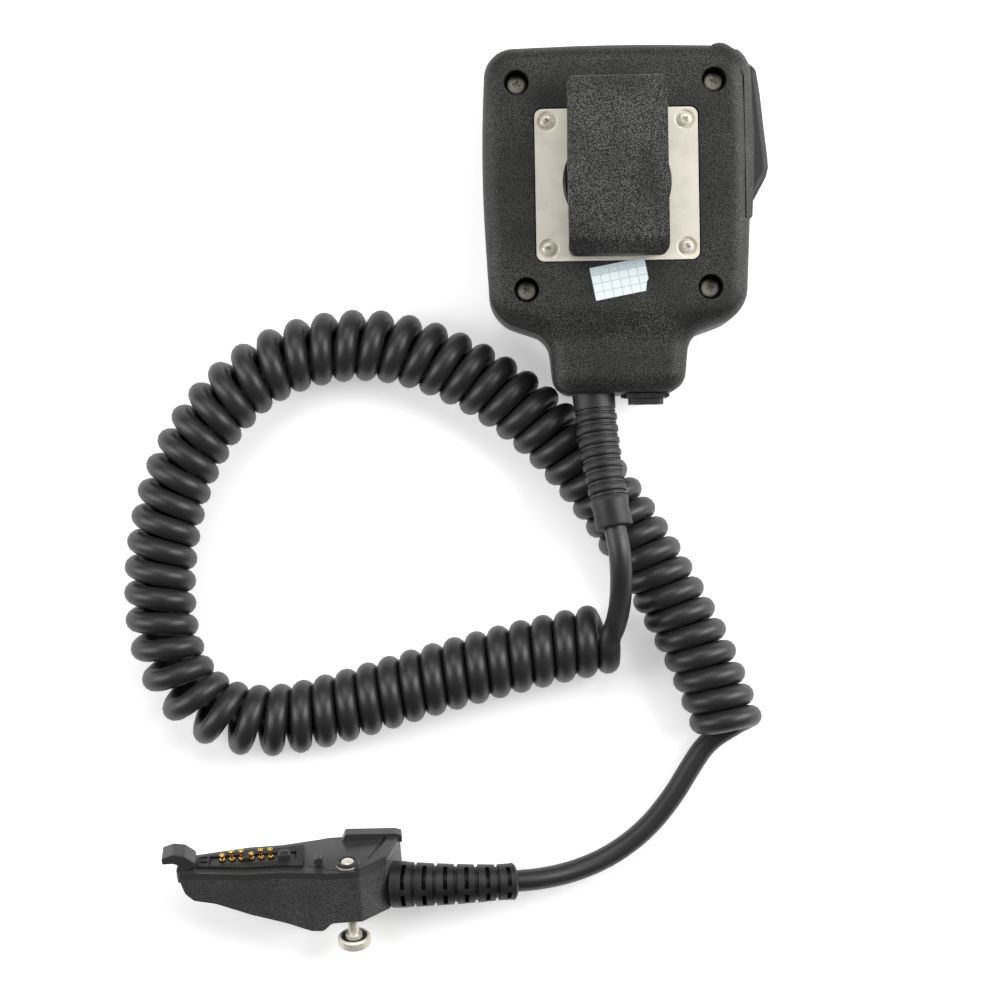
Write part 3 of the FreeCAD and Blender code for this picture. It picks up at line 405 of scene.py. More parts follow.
class Shape:
    """A closed shape in millimetres, made with mesh operators before it becomes a piece."""

    def __init__(self) -> None:
        """Starts empty."""
        self.mesh = bmesh.new()

    @classmethod
    def slab(cls, corners: Sequence[Corner], low: float, high: float, inset: float = 0.0, steps: int = 8) -> "Shape":
        """Upright slab over an outline of straight sides with rounded corners.

        Args:
            corners: X, Y and radius of each corner, anticlockwise.
            low: Height of its underside.
            high: Height of its top.
            inset: How far its sides stand inside the outline.
            steps: Segments of each rounded corner.

        Returns:
            The slab.
        """
        shape = cls()
        mesh = shape.mesh
        verts = [mesh.verts.new((x, y, low)) for x, y, _ in corners]
        mesh.faces.new(verts)
        for i, vert in enumerate(verts):
            here = Vector(corners[i][:2])
            back = Vector(corners[i - 1][:2]) - here
            ahead = Vector(corners[(i + 1) % len(corners)][:2]) - here
            if corners[i][2] > 0:
                reach = corners[i][2] / math.tan(back.angle(ahead) / 2)
                bmesh.ops.bevel(mesh, geom=[vert], offset=reach, offset_type="OFFSET", segments=steps,
                                profile=0.5, affect="VERTICES", material=-1, clamp_overlap=False)
        if inset:
            ring = bmesh.ops.inset_region(mesh, faces=mesh.faces[:], thickness=inset, use_even_offset=True,
                                          use_boundary=True)
            bmesh.ops.delete(mesh, geom=ring["faces"], context="FACES")
        raised = bmesh.ops.extrude_face_region(mesh, geom=mesh.faces[:])
        tops = [g for g in raised["geom"] if isinstance(g, bmesh.types.BMVert)]
        bmesh.ops.translate(mesh, verts=tops, vec=(0, 0, high - low))
        bmesh.ops.recalc_face_normals(mesh, faces=mesh.faces[:])
        return shape

    @classmethod
    def box(cls, low: Place, high: Place) -> "Shape":
        """Box between two corners.

        Args:
            low: Lowest corner.
            high: Highest corner.

        Returns:
            The box.
        """
        shape = cls()
        size = Vector(high) - Vector(low)
        middle = (Vector(high) + Vector(low)) / 2
        bmesh.ops.create_cube(shape.mesh, size=1, matrix=Matrix.Translation(middle) @ Matrix.Diagonal((*size, 1)))
        return shape

    @classmethod
    def disc(cls, radius: float, low: float, high: float, x: float = 0.0, y: float = 0.0,
             top_radius: Optional[float] = None, steps: int = 48) -> "Shape":
        """Upright cylinder or cone.

        Args:
            radius: Radius at its foot.
            low: Height of its foot.
            high: Height of its top.
            x: Place of its axis.
            y: Place of its axis.
            top_radius: Radius at its top, if that differs.
            steps: Sides of the circle.

        Returns:
            The cylinder.
        """
        shape = cls()
        second = radius if top_radius is None else top_radius
        bmesh.ops.create_cone(shape.mesh, cap_ends=True, segments=steps, radius1=radius, radius2=second,
                              depth=high - low, matrix=Matrix.Translation((x, y, (low + high) / 2)))
        return shape

    @classmethod
    def turned(cls, profile: Sequence[Tuple[float, float]], steps: int = 48) -> "Shape":
        """Shape of revolution about the Z axis.

        Args:
            profile: Radius and height along the outline, from its foot on the axis to its top on the axis.
            steps: Sides of the circle.

        Returns:
            The turned shape.
        """
        shape = cls()
        mesh = shape.mesh
        verts = [mesh.verts.new((radius, 0, height)) for radius, height in profile]
        edges = [mesh.edges.new(pair) for pair in zip(verts, verts[1:])]
        bmesh.ops.spin(mesh, geom=verts + edges, cent=(0, 0, 0), axis=(0, 0, 1), angle=math.tau, steps=steps,
                       use_merge=True)
        bmesh.ops.remove_doubles(mesh, verts=mesh.verts[:], dist=TINY)
        bmesh.ops.recalc_face_normals(mesh, faces=mesh.faces[:])
        return shape

    @classmethod
    def sleeve(cls, path: Sequence[Vector], profile: Sequence[Tuple[float, float]], steps: int = 40) -> "Shape":
        """Closed round sleeve along a path, such as a strain relief.

        Args:
            path: Points of its centreline.
            profile: Distance along the path and radius, in order.
            steps: Sides of the circle.

        Returns:
            The sleeve.
        """
        shape = cls()
        mesh = shape.mesh
        before = station(path, profile[0][0], profile[0][1])
        made = bmesh.ops.create_circle(mesh, cap_ends=True, segments=steps, radius=1, matrix=before)
        ring = list({edge for vert in made["verts"] for edge in vert.link_edges})
        for distance, radius in profile[1:]:
            after = station(path, distance, radius)
            grown = bmesh.ops.extrude_edge_only(mesh, edges=ring)["geom"]
            verts = [g for g in grown if isinstance(g, bmesh.types.BMVert)]
            known = set(verts)
            bmesh.ops.transform(mesh, matrix=after @ before.inverted(), verts=verts)
            ring = [g for g in grown if isinstance(g, bmesh.types.BMEdge) and known.issuperset(g.verts)]
            before = after
        bmesh.ops.holes_fill(mesh, edges=ring, sides=0)
        bmesh.ops.recalc_face_normals(mesh, faces=mesh.faces[:])
        return shape

    def turn(self, matrix: Matrix) -> "Shape":
        """Moves or turns the shape by a matrix, and returns it."""
        bmesh.ops.transform(self.mesh, matrix=matrix, verts=self.mesh.verts[:])
        return self

    def move(self, x: float = 0.0, y: float = 0.0, z: float = 0.0) -> "Shape":
        """Moves the shape along the axes, and returns it."""
        return self.turn(Matrix.Translation((x, y, z)))

    def copy(self) -> "Shape":
        """Returns a copy of the shape."""
        twin = Shape()
        twin.mesh.free()
        twin.mesh = self.mesh.copy()
        return twin

    def round_rim(self, level: float, width: float, steps: int) -> "Shape":
        """Rounds the edges that lie at one height.

        Args:
            level: Height of the edges.
            width: Radius of the rounding.
            steps: Segments of the rounding.

        Returns:
            The shape itself.
        """
        rim = [e for e in self.mesh.edges if all(abs(v.co.z - level) < 1e-3 for v in e.verts)]
        bmesh.ops.bevel(self.mesh, geom=rim, offset=width, offset_type="OFFSET", segments=steps, profile=0.5,
                        affect="EDGES", material=-1, clamp_overlap=False)
        return self

    def slice(self, point: Place, normal: Place, clear: bool = False) -> "Shape":
        """Scores the shape along a plane, or cuts away what lies beyond it.

        Args:
            point: A point of the plane.
            normal: Its direction; what lies that way is cut away.
            clear: Whether anything is cut away.

        Returns:
            The shape itself.
        """
        mesh = self.mesh
        whole = mesh.verts[:] + mesh.edges[:] + mesh.faces[:]
        scored = bmesh.ops.bisect_plane(mesh, geom=whole, dist=TINY, plane_co=point, plane_no=normal,
                                        clear_outer=clear)
        if clear:
            rim = [g for g in scored["geom_cut"] if isinstance(g, bmesh.types.BMEdge)]
            bmesh.ops.holes_fill(mesh, edges=rim, sides=0)
            bmesh.ops.recalc_face_normals(mesh, faces=mesh.faces[:])
        return self

    def reshape(self, rule: Callable[[Vector], Vector]) -> "Shape":
        """Moves every vertex to where the rule says, and returns the shape."""
        for vert in self.mesh.verts:
            vert.co = rule(vert.co)
        return self

    def joined(self, other: "Shape") -> "Shape":
        """Adds a shape that stays apart from this one, without working out where they meet."""
        scratch = bpy.data.meshes.new("scratch")
        other.mesh.to_mesh(scratch)
        self.mesh.from_mesh(scratch)
        bpy.data.meshes.remove(scratch)
        return self

    @staticmethod
    def together(shapes: Sequence["Shape"]) -> "Shape":
        """Joins shapes that don't touch into the first of them; the others are used up."""
        for other in shapes[1:]:
            shapes[0].joined(other)
        return shapes[0]

    def change(self, how: Join, others: Sequence["Shape"]) -> "Shape":
        """Adds, cuts or intersects other shapes.

        Args:
            how: What is done.
            others: Shapes that don't touch each other; they are used up.

        Returns:
            The shape itself.
        """
        tool = Shape.together(others)
        pair = []
        for shape in (self, tool):
            data = bpy.data.meshes.new("scratch")
            shape.mesh.to_mesh(data)
            pair.append(bpy.data.objects.new("scratch", data))
            bpy.context.scene.collection.objects.link(pair[-1])
        step = pair[0].modifiers.new("step", "BOOLEAN")
        step.operation, step.solver, step.object = how.value, "EXACT", pair[1]
        bpy.context.view_layer.update()
        result = bpy.data.meshes.new_from_object(pair[0].evaluated_get(bpy.context.evaluated_depsgraph_get()))
        self.mesh.clear()
        self.mesh.from_mesh(result)
        bmesh.ops.remove_doubles(self.mesh, verts=self.mesh.verts[:], dist=TINY)
        bmesh.ops.dissolve_degenerate(self.mesh, dist=TINY, edges=self.mesh.edges[:])
        for scratch in pair:
            data = scratch.data
            bpy.data.objects.remove(scratch)
            bpy.data.meshes.remove(data)
        bpy.data.meshes.remove(result)
        return self

    def piece(self, name: str, body: str, finish: Finish, slot: str, replaces: Sequence[str] = (),
              edge: float = 0.15, edge_steps: int = 2, limit: float = 32.0) -> bpy.types.Object:
        """Turns the shape to a finished piece of the object, in metres.

        Args:
            name: Name of the piece.
            body: CAD body that it moves with.
            finish: Its surface.
            slot: Material slot of the record that it takes its finish from; not used.
            replaces: CAD nodes that it stands for.
            edge: Width of the rounding on its sharp edges, 0 for none.
            edge_steps: Segments of that rounding.
            limit: Angle in degrees past which an edge counts as sharp.

        Returns:
            The piece.
        """
        self.turn(Matrix.Diagonal((MM, MM, MM, 1)))
        data = bpy.data.meshes.new(name)
        self.mesh.to_mesh(data)
        self.mesh.free()
        for face in data.polygons:
            face.use_smooth = True
        data.materials.append(finish.material())
        thing = bpy.data.objects.new(name, data)
        bpy.context.scene.collection.objects.link(thing)
        if edge:
            soften = thing.modifiers.new("edges", "BEVEL")
            soften.width, soften.segments = edge * MM, edge_steps
            soften.limit_method, soften.angle_limit = "ANGLE", math.radians(limit)
            soften.harden_normals = True
        else:
            data.set_sharp_from_angle(angle=math.radians(limit))
        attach(thing, body)
        if replaces:
            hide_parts(*replaces)
        log.info("%s: %d faces, %s", name, len(data.polygons), finish.name)
        return thing


def station(path: Sequence[Vector], distance: float, radius: float) -> Matrix:
    """Place, direction and size of a ring round a path.

    Args:
        path: Points of the centreline.
        distance: Distance along it; below zero or past its end it runs on straight.
        radius: Radius of the ring.

    Returns:
        A matrix that turns a unit circle about Z to that ring.
    """
    travelled = 0.0
    for start, end in zip(path, path[1:]):
        length = (end - start).length
        if travelled + length >= distance:
            break
        travelled += length
    along = (end - start).normalized()
    place = start + along * (distance - travelled)
    turn = along.to_track_quat("Z", "Y").to_matrix().to_4x4()
    return Matrix.Translation(place) @ turn @ Matrix.Diagonal((radius, radius, 1, 1))


def spline_object(name: str, points: Sequence[Place], resolution: int) -> bpy.types.Object:
    """A curve of one open NURBS spline through its end points.

    Args:
        name: Name of the object.
        points: Control points in millimetres.
        resolution: Steps from one control point to the next.

    Returns:
        The curve object.
    """
    data = bpy.data.curves.new(name, "CURVE")
    data.dimensions = "3D"
    data.resolution_u = resolution
    spline = data.splines.new("NURBS")
    spline.points.add(len(points) - 1)
    for point, place in zip(spline.points, points):
        point.co = (*(Vector(place) * MM), 1)
    spline.order_u = 3
    spline.use_endpoint_u = True
    spline.resolution_u = resolution
    thing = bpy.data.objects.new(name, data)
    bpy.context.scene.collection.objects.link(thing)
    return thing


def read_line(points: Sequence[Place]) -> List[Vector]:
    """Points read along the smooth line of a route.

    Args:
        points: Control points of the route in millimetres.

    Returns:
        Points of the line in millimetres.
    """
    thing = spline_object("route", points, 24)
    bpy.context.view_layer.update()
    mesh = bpy.data.meshes.new_from_object(thing)
    line = [vert.co / MM for vert in mesh.vertices]
    bpy.data.meshes.remove(mesh)
    data = thing.data
    bpy.data.objects.remove(thing)
    bpy.data.curves.remove(data)
    return line


@dataclass
class Studio:
    """White table, soft light that is dimmer overhead, and a camera that looks straight down."""

    table: float = 6000.0
    eye: Place = (-27.12, -69.9, 750.0)
    roll: float = -1.0
    lens: float = 117.2
    horizon: float = 1.0
    zenith: float = 0.95

    def build(self) -> None:
        """Makes the table, the light and the camera."""
        top = Shape()
        bmesh.ops.create_grid(top.mesh, x_segments=1, y_segments=1, size=self.table / 2)
        top.turn(Matrix.Diagonal((MM, MM, MM, 1)))
        data = bpy.data.meshes.new("table_board")
        top.mesh.to_mesh(data)
        data.materials.append(TABLE.material())
        table = bpy.data.objects.new("table_board", data)
        bpy.context.scene.collection.objects.link(table)
        world = bpy.data.worlds.new("daylight")
        world.use_nodes = True
        sky = world.node_tree
        level = add_node(sky, "SeparateXYZ", {0: add_node(sky, "TexCoord").outputs["Generated"]})
        fall = add_node(sky, "MapRange", {"Value": level.outputs[2], "From Min": 0.1, "From Max": 0.95,
                                          "To Min": self.horizon, "To Max": self.zenith})
        sky.links.new(fall.outputs["Result"], sky.nodes["Background"].inputs["Strength"])
        bpy.context.scene.view_settings.view_transform = "Standard"
        bpy.context.scene.world = world
        # name, place, size, watts: a long softbox on the right, a weaker one on the left, one overhead.
        boxes = (("softbox_right", (480, 60, 330), (260, 620), 4.2),
                 ("softbox_left", (-560, -40, 330), (260, 620), 2.6),
                 ("softbox_top", (-60, 420, 620), (700, 420), 2.6))
        for name, place, size, watts in boxes:
            lamp = bpy.data.lights.new(name, "AREA")
            lamp.shape, lamp.energy = "RECTANGLE", watts
            lamp.size, lamp.size_y = size[0] * MM, size[1] * MM
            thing = bpy.data.objects.new(name, lamp)
            thing.location = Vector(place) * MM
            aim = Vector((0, -60, 0)) - Vector(place)
            thing.rotation_euler = aim.to_track_quat("-Z", "Y").to_euler()
            bpy.context.scene.collection.objects.link(thing)
        camera = bpy.data.cameras.new("camera")
        camera.lens, camera.sensor_width = self.lens, 36.0
        thing = bpy.data.objects.new("camera", camera)
        thing.location = Vector(self.eye) * MM
        thing.rotation_euler = (0, 0, math.radians(self.roll))
        bpy.context.scene.collection.objects.link(thing)
        bpy.context.scene.camera = thing
        log.info("studio: table, %d softboxes, camera", len(boxes))


def screw(radius: float, height: float, shank: float, length: float, arm: float) -> Shape:
    """Pan-head screw with a cross recess, its seat at height zero.

    Args:
        radius: Radius of the head.
        height: Height of the head.
        shank: Radius of the shank.
        length: Length of the shank.
        arm: Reach of the recess from the axis.

    Returns:
        The screw.
    """
    dome = [(radius * (0.68 + 0.32 * c), height * (0.5 + 0.5 * s)) for c, s in
            ((math.cos(math.radians(a)), math.sin(math.radians(a))) for a in range(0, 90, 15))]
    body = Shape.turned([(0, -length), (shank * 0.7, -length), (shank, -length + shank), (shank, 0.0),
                         (radius * 0.96, 0.0), (radius, height * 0.15)] + dome + [(0, height)], steps=36)
    floor = height * 0.35
    for turn in (45, 135):
        blade = Shape.disc(arm * 0.75, floor, height + 0.6, top_radius=arm * 1.55, steps=4)
        blade.turn(Matrix.Rotation(math.radians(turn), 4, "Z") @ Matrix.Rotation(math.radians(45), 4, "Z"))
        narrow = Matrix.Rotation(math.radians(turn), 4, "Z") @ Matrix.Diagonal((1, 0.3, 1, 1))
        blade.turn(narrow @ Matrix.Rotation(math.radians(-turn), 4, "Z"))
        body.change(Join.CUT, [blade])
    return body


@dataclass
class Casing:
    """Two moulded shells with the screw wells, the clip's recess and the grille."""

    half_width: float = 30.1
    top: float = 31.0
    shoulder: float = -29.5
    neck_half: float = 14.3
    neck_end: float = -46.5
    depth: float = 30.0
    neck_drop: float = 1.6
    parting: float = 12.0
    side_wall: float = 2.2
    front_wall: float = 2.4
    back_wall: float = 2.6
    back_rounding: float = 4.2
    front_rounding: float = 2.4
    well_radius: float = 2.8
    well_floor: float = 24.0
    head_radius: float = 2.1
    grille_radius: float = 17.0
    slot_width: float = 1.4
    slot_pitch: float = 3.2
    shortest_slot: float = 4.0
    mouth: Tuple[float, float] = (0.0, -38.0)
    screw_places: Tuple[Tuple[float, float], ...] = ((-21.9, 22.4), (21.9, 22.4), (-20.4, -23.5), (20.4, -23.5))
    recess: Tuple[float, float, float] = (18.35, 17.15, 2.05)
    recess_floor: float = 28.8

    def outline(self) -> List[Corner]:
        """Returns the outline from the back: crowned end and sides, shoulders drawn in to the neck."""
        right = [(0.0, self.top, 380.0), (self.half_width - 1.3, self.top - 0.8, 6.5), (self.half_width, 3.0, 260.0),
                 (self.half_width - 1.6, self.shoulder, 8.0), (self.neck_half + 1.3, self.shoulder - 4.5, 5.0),
                 (self.neck_half, self.neck_end, 4.4)]
        left = [(-x, y, radius) for x, y, radius in right[1:]]
        return left + right[:0:-1] + right[:1]

    def dipped(self, block: Shape) -> Shape:
        """Sinks the back softly towards the neck.

        Args:
            block: The back half as a block.

        Returns:
            The block.
        """
        start, end = self.shoulder + 2.2, self.shoulder - 5.8
        count = 12
        for i in range(count + 1):
            block.slice((0, start + (end - start) * i / count, 0), (0, -1, 0))

        def sink(place: Vector) -> Vector:
            """Lowers a point by its share of the neck's drop."""
            run = min(max((start - place.y) / (start - end), 0.0), 1.0)
            rise = max(place.z - self.parting, 0.0) / (self.depth - self.parting)
            return Vector((place.x, place.y, place.z - self.neck_drop * run * run * (3 - 2 * run) * rise))

        return block.reshape(sink)

    def build(self, bar_space: Callable[[], Shape], stem_space: Callable[[], Shape]) -> None:
        """Makes both shells and the four screws between them.

        Args:
            bar_space: Makes the space that the talk bar takes.
            stem_space: Makes the space that the talk button's stem takes.
        """
        corners = self.outline()
        back = Shape.slab(corners, self.parting, self.depth).round_rim(self.depth, self.back_rounding, 10)
        self.dipped(back)
        ceiling = self.depth - self.back_wall
        hollow = Shape.slab(corners, self.parting - 1, ceiling, inset=self.side_wall, steps=5)
        self.dipped(hollow.round_rim(ceiling, 1.6, 3))
        back.change(Join.CUT, [hollow])
        posts = [Shape.disc(self.well_radius + 1.3, self.parting + 0.2, ceiling + 0.6, x, y)
                 for x, y in self.screw_places]
        back.change(Join.ADD, posts + [Shape.disc(9.6, 22.8, ceiling + 0.8)])
        wells = [Shape.disc(self.well_radius, self.well_floor, self.depth + 1, x, y) for x, y in self.screw_places]
        wells += [Shape.disc(1.35, self.parting - 1, self.well_floor - 0.01, x, y) for x, y in self.screw_places]
        x, y, corner = self.recess
        plate = four_corners(-x, -y, x, y, corner)
        wells += [Shape.slab(plate, self.recess_floor, self.depth + 1).move(y=-0.45)]
        back.change(Join.CUT, wells)
        back.change(Join.CUT, [bar_space()])
        back.change(Join.CUT, [stem_space()])
        back.change(Join.CUT, [Shape.disc(8.0, 24.4, self.recess_floor + 0.01)])
        ports = [Shape.disc(3.25, -self.neck_end - 4, -self.neck_end + 1, 6.0, 19.5).turn(ON_END),
                 Shape.disc(3.9, -self.neck_end - 4, -self.neck_end + 1, -5.8, 19.5).turn(ON_END)]
        back.change(Join.CUT, ports)
        back.piece("rear_shell", "housing", CASING_ABS, "casing_plastic", ["rear_cover"], edge=0.3, edge_steps=3)

        front = Shape.slab(corners, 0.0, self.parting).round_rim(0.0, self.front_rounding, 6)
        inside = Shape.slab(corners, self.front_wall, self.parting + 1, inset=self.side_wall, steps=5)
        front.change(Join.CUT, [inside])
        posts = [Shape.disc(3.2, self.front_wall - 0.6, self.parting, x, y) for x, y in self.screw_places]
        posts.append(Shape.disc(19.8, self.front_wall - 0.6, self.front_wall + 3.6, steps=72))
        front.change(Join.ADD, posts)
        front.change(Join.CUT, [Shape.disc(18.05, self.front_wall, self.parting, steps=72)]
                     + [Shape.disc(1.25, 5.0, self.parting + 1, x, y) for x, y in self.screw_places]
                     + [Shape.disc(0.8, -1, self.front_wall + 1, *self.mouth, steps=24)])
        front.change(Join.CUT, self.slots())
        front.change(Join.CUT, [bar_space()])
        front.piece("front_shell", "housing", CASING_ABS, "casing_plastic", ["front_housing"], edge=0.2)

        heads = [screw(self.head_radius, 1.5, 1.25, 19.0, 1.15).turn(Matrix.Rotation(0.5 + 1.3 * i, 4, "Z"))
                 .move(x, y, self.well_floor) for i, (x, y) in enumerate(self.screw_places)]
        Shape.together(heads).piece("shell_screws", "housing", NICKEL, "nickel_screw", ["housing_screws"], edge=0.06)

    def slots(self) -> List[Shape]:
        """Returns the grille's round-ended slots, widest across the middle."""
        cuts = []
        count = int(self.grille_radius / self.slot_pitch)
        round_end = self.slot_width / 2
        for i in range(-count, count + 1):
            y = (i + 0.5) * self.slot_pitch
            reach = self.grille_radius ** 2 - y ** 2
            if reach > self.shortest_slot ** 2:
                half = math.sqrt(reach) + round_end
                ends = four_corners(-half, y - round_end, half, y + round_end, round_end * 0.98)
                cuts.append(Shape.slab(ends, -1.0, self.front_wall + 1, steps=5))
        return cuts


@dataclass
class BeltClip:
    """Steel plate with its screws, turning disc and sprung clip."""

    plate: Tuple[float, float, float] = (18.1, 16.9, 1.8)
    plate_low: float = 28.8
    plate_top: float = 29.8
    centre_y: float = -0.45
    screw_x: float = 15.25
    screw_y: float = 14.1
    head_radius: float = 1.5
    disc_radius: float = 12.05
    disc_top: float = 31.6
    pivot: Tuple[float, float] = (6.0, 34.6)
    pin_radius: float = 1.2
    half_width: float = 11.0
    jaw: float = -16.5
    tab: float = 22.5
    top: float = 40.0
    roof: float = 2.7
    tip: float = 30.25
    side: float = 1.7

    def build(self) -> None:
        """Makes the plate, its screws, the turning disc and the clip."""
        x, y, corner = self.plate
        places = [(sx * self.screw_x, self.centre_y + sy * self.screw_y) for sx in (-1, 1) for sy in (-1, 1)]
        outline = four_corners(-x, -y, x, y, corner)
        sheet = Shape.slab(outline, self.plate_low, self.plate_top).move(y=self.centre_y)
        dimples = [Shape.disc(1.15, self.plate_low - 1, self.plate_low + 0.301, px, py) for px, py in places]
        sheet.change(Join.CUT, dimples + [Shape.disc(6.06, self.plate_low - 1, self.plate_top + 1)])
        sheet.change(Join.CUT, [Shape.disc(1.75, self.plate_low + 0.3, self.plate_top + 0.2, px, py, top_radius=2.35)
                                for px, py in places])
        sheet.piece("clip_sheet", "housing", SATIN_STEEL, "satin_steel", ["clip_plate"], edge=0.14)
        heads = [screw(self.head_radius, 0.95, 1.0, 6.5, 0.85).turn(Matrix.Rotation(0.4 + 0.9 * i, 4, "Z"))
                 .move(px, py, self.plate_low + 0.3) for i, (px, py) in enumerate(places)]
        Shape.together(heads).piece("sheet_screws", "housing", NICKEL, "nickel_screw", ["clip_plate_screws"],
                                    edge=0.05)
        self.turntable()
        self.arm()

    def turntable(self) -> None:
        """Makes the turning disc with its hub and two ears."""
        low = self.plate_top + 0.02
        disc = Shape.turned([(0, 27.2), (6.0, 27.2), (6.0, low), (self.disc_radius - 0.3, low),
                             (self.disc_radius, low + 0.3), (self.disc_radius, self.disc_top - 0.5),
                             (self.disc_radius - 0.5, self.disc_top), (0, self.disc_top)], steps=96)
        y, z = self.pivot
        reach = 2.2
        ear = [(y - reach, self.disc_top - 0.4, 0.0), (y + reach, self.disc_top - 0.4, 0.0),
               (y + reach, z + reach, reach * 0.98), (y - reach, z + reach, reach * 0.98)]
        ears = [Shape.slab(ear, x, x + 2.4).turn(ON_SIDE) for x in (-8.6, 6.2)]
        disc.change(Join.ADD, ears)
        disc.change(Join.CUT, [Shape.disc(self.pin_radius + 0.05, -20, 20, y, z).turn(ON_SIDE),
                               Shape.disc(1.0, 20, 30)])
        # Its finish is near-black, partly the resin and partly painted shade under the clip.
        disc.piece("turning_disc", "swivel", DISC_ABS_PAINTED_SHADE, "clip_plastic", ["swivel_base"], edge=0.15)

    def arm(self) -> None:
        """Makes the clip: a stiff channel with a hooked jaw, rounded like a moulding."""
        under = self.top - self.roof
        y, z = self.pivot
        side = [(self.jaw + 0.5, self.tip, 0.2), (self.jaw + 2.4, self.tip, 0.3), (self.jaw + 3.4, under - 3.6, 1.0),
                (y - 4.5, under - 3.2, 3.0), (y - 2.6, z - 2.6, 1.0), (y + 2.6, z - 2.6, 1.0),
                (y + 4.0, under - 1.6, 2.0), (self.tab, under - 0.7, 0.5), (self.tab, self.top, 0.9),
                (self.jaw + 3.0, self.top, 2.2), (self.jaw, self.top - 3.4, 1.6), (self.jaw, self.tip + 1.5, 0.8)]
        block = Shape.slab(side, -self.half_width, self.half_width, steps=5).turn(ON_SIDE)
        x = self.half_width
        plan = [(-x, self.jaw - TINY, 1.9), (x, self.jaw - TINY, 1.9), (x, self.tab + TINY, 1.6),
                (-x, self.tab + TINY, 1.6)]
        block.change(Join.COMMON, [Shape.slab(plan, self.tip - 5, self.top + 5, steps=5)])
        inner = self.half_width - self.side
        block.change(Join.CUT, [Shape.box((-inner, self.jaw + 3.2, self.tip - 2), (inner, self.tab - 1.4, under))])
        ears = [Shape.slab([(y - 2.6, z - 2.6, 2.5), (y + 2.6, z - 2.6, 2.5), (y + 2.6, self.top - 1, 0),
                            (y - 2.6, self.top - 1, 0)], low, low + 1.8).turn(ON_SIDE) for low in (-10.6, 8.8)]
        block.change(Join.ADD, ears)
        block.change(Join.CUT, [Shape.disc(self.pin_radius + 0.02, -20, 20, y, z).turn(ON_SIDE)])
        block.piece("clip_arm", "clip", CLIP_ABS, "clip_plastic", ["belt_clip"], edge=0.5, edge_steps=4, limit=38)


@dataclass
class TalkBar:
    """Framed talk bar let into the casing's side, with its rubber-faced button."""

    low: float = 6.5
    crest: float = 29.7
    crown: float = 5.6
    inner: float = 28.6
    gap: float = 0.3
    button_ends: Tuple[float, float] = (-4.6, 27.4)
    button_levels: Tuple[float, float] = (8.7, 25.0)
    seat: float = 30.1
    corner: float = 1.6

    def wrap(self, grow: float = 0.0) -> List[Corner]:
        """Returns the frame's outline, wrapped round the casing's upper corner.

        Args:
            grow: How far its inner side is moved out, as room for the frame.
        """
        inner = self.inner - grow
        return [(inner, -8.2 - grow, 0.2), (30.0, -8.2 - grow, 0.5), (30.8, 6.0, 20.0), (31.2, 18.0, 9.0),
                (31.1, 24.2, 3.0), (30.1, 27.2, 1.8), (27.9, 29.5, 0.4), (26.7, 29.3, 0.2), (24.6, 30.8, 0.6),
                (23.3, 31.0, 0.6), (21.8, 30.5, 0.2), (21.3 - grow, 29.5 - grow, 0.1), (25.2, 28.3 - grow, 2.0),
                (inner, 23.6, 2.0)]

    def space(self) -> Shape:
        """Returns the space that the frame takes in the shells, open at the back."""
        return Shape.slab(self.wrap(0.04), self.low - 0.12, self.crest + 1.0)

    def stem_space(self) -> Shape:
        """Returns the slot in the casing's wall for the button's stem."""
        return Shape.box((20.0, 2.7, 13.7), (32.0, 9.3, 19.3))

    def build(self) -> None:
        """Makes the frame, which carries on the casing's rounding, and the button."""
        start, end = self.button_ends
        low, high = self.button_levels
        dome = Shape.slab([(-40.0, -40.0, 0.0), (30.5, -40.0, 0.0), (31.5, 3.0, 260.0), (30.2, 31.4, 7.9),
                           (-40.0, 32.2, 0.0)], 0.0, self.crest).round_rim(self.crest, self.crown, 12)
        window = Shape.box((self.inner - 0.01, start - self.gap, low - self.gap),
                           (36.0, end + self.gap, high + self.gap))
        bar = Shape.slab(self.wrap(), self.low, self.crest + 0.5).change(Join.COMMON, [dome])
        bar.change(Join.CUT, [window])
        bar.piece("bar_frame", "housing", CASING_ABS, "bar_plastic", ["ptt_frame"], edge=0.1)
        # The outline runs on past the seat and is cut there, so that the rounding stays on the face.
        face = [(25.0, start, 0.0), (30.3, start, self.corner), (33.5, 1.2, self.corner), (34.0, 3.3, self.corner),
                (33.8, 6.0, 8.0), (33.1, 12.5, 40.0), (32.4, 19.8, 20.0), (31.6, 25.2, self.corner),
                (29.4, end - self.gap, self.corner), (25.0, end - self.gap, 0.0)]
        button = Shape.slab(face, low, high, steps=6).round_rim(low, 0.8, 4).round_rim(high, 1.4, 6)
        button.change(Join.COMMON, [Shape.box((self.seat, start - 1.0, 0.0), (40.0, end + 1.0, 40.0))])
        button.change(Join.ADD, [Shape.box((24.8, 3.0, 14.0), (30.6, 9.0, 19.0))])
        button.piece("talk_face", "talk_button", BUTTON_RUBBER, "bar_rubber", ["ptt_button"], edge=0.15)


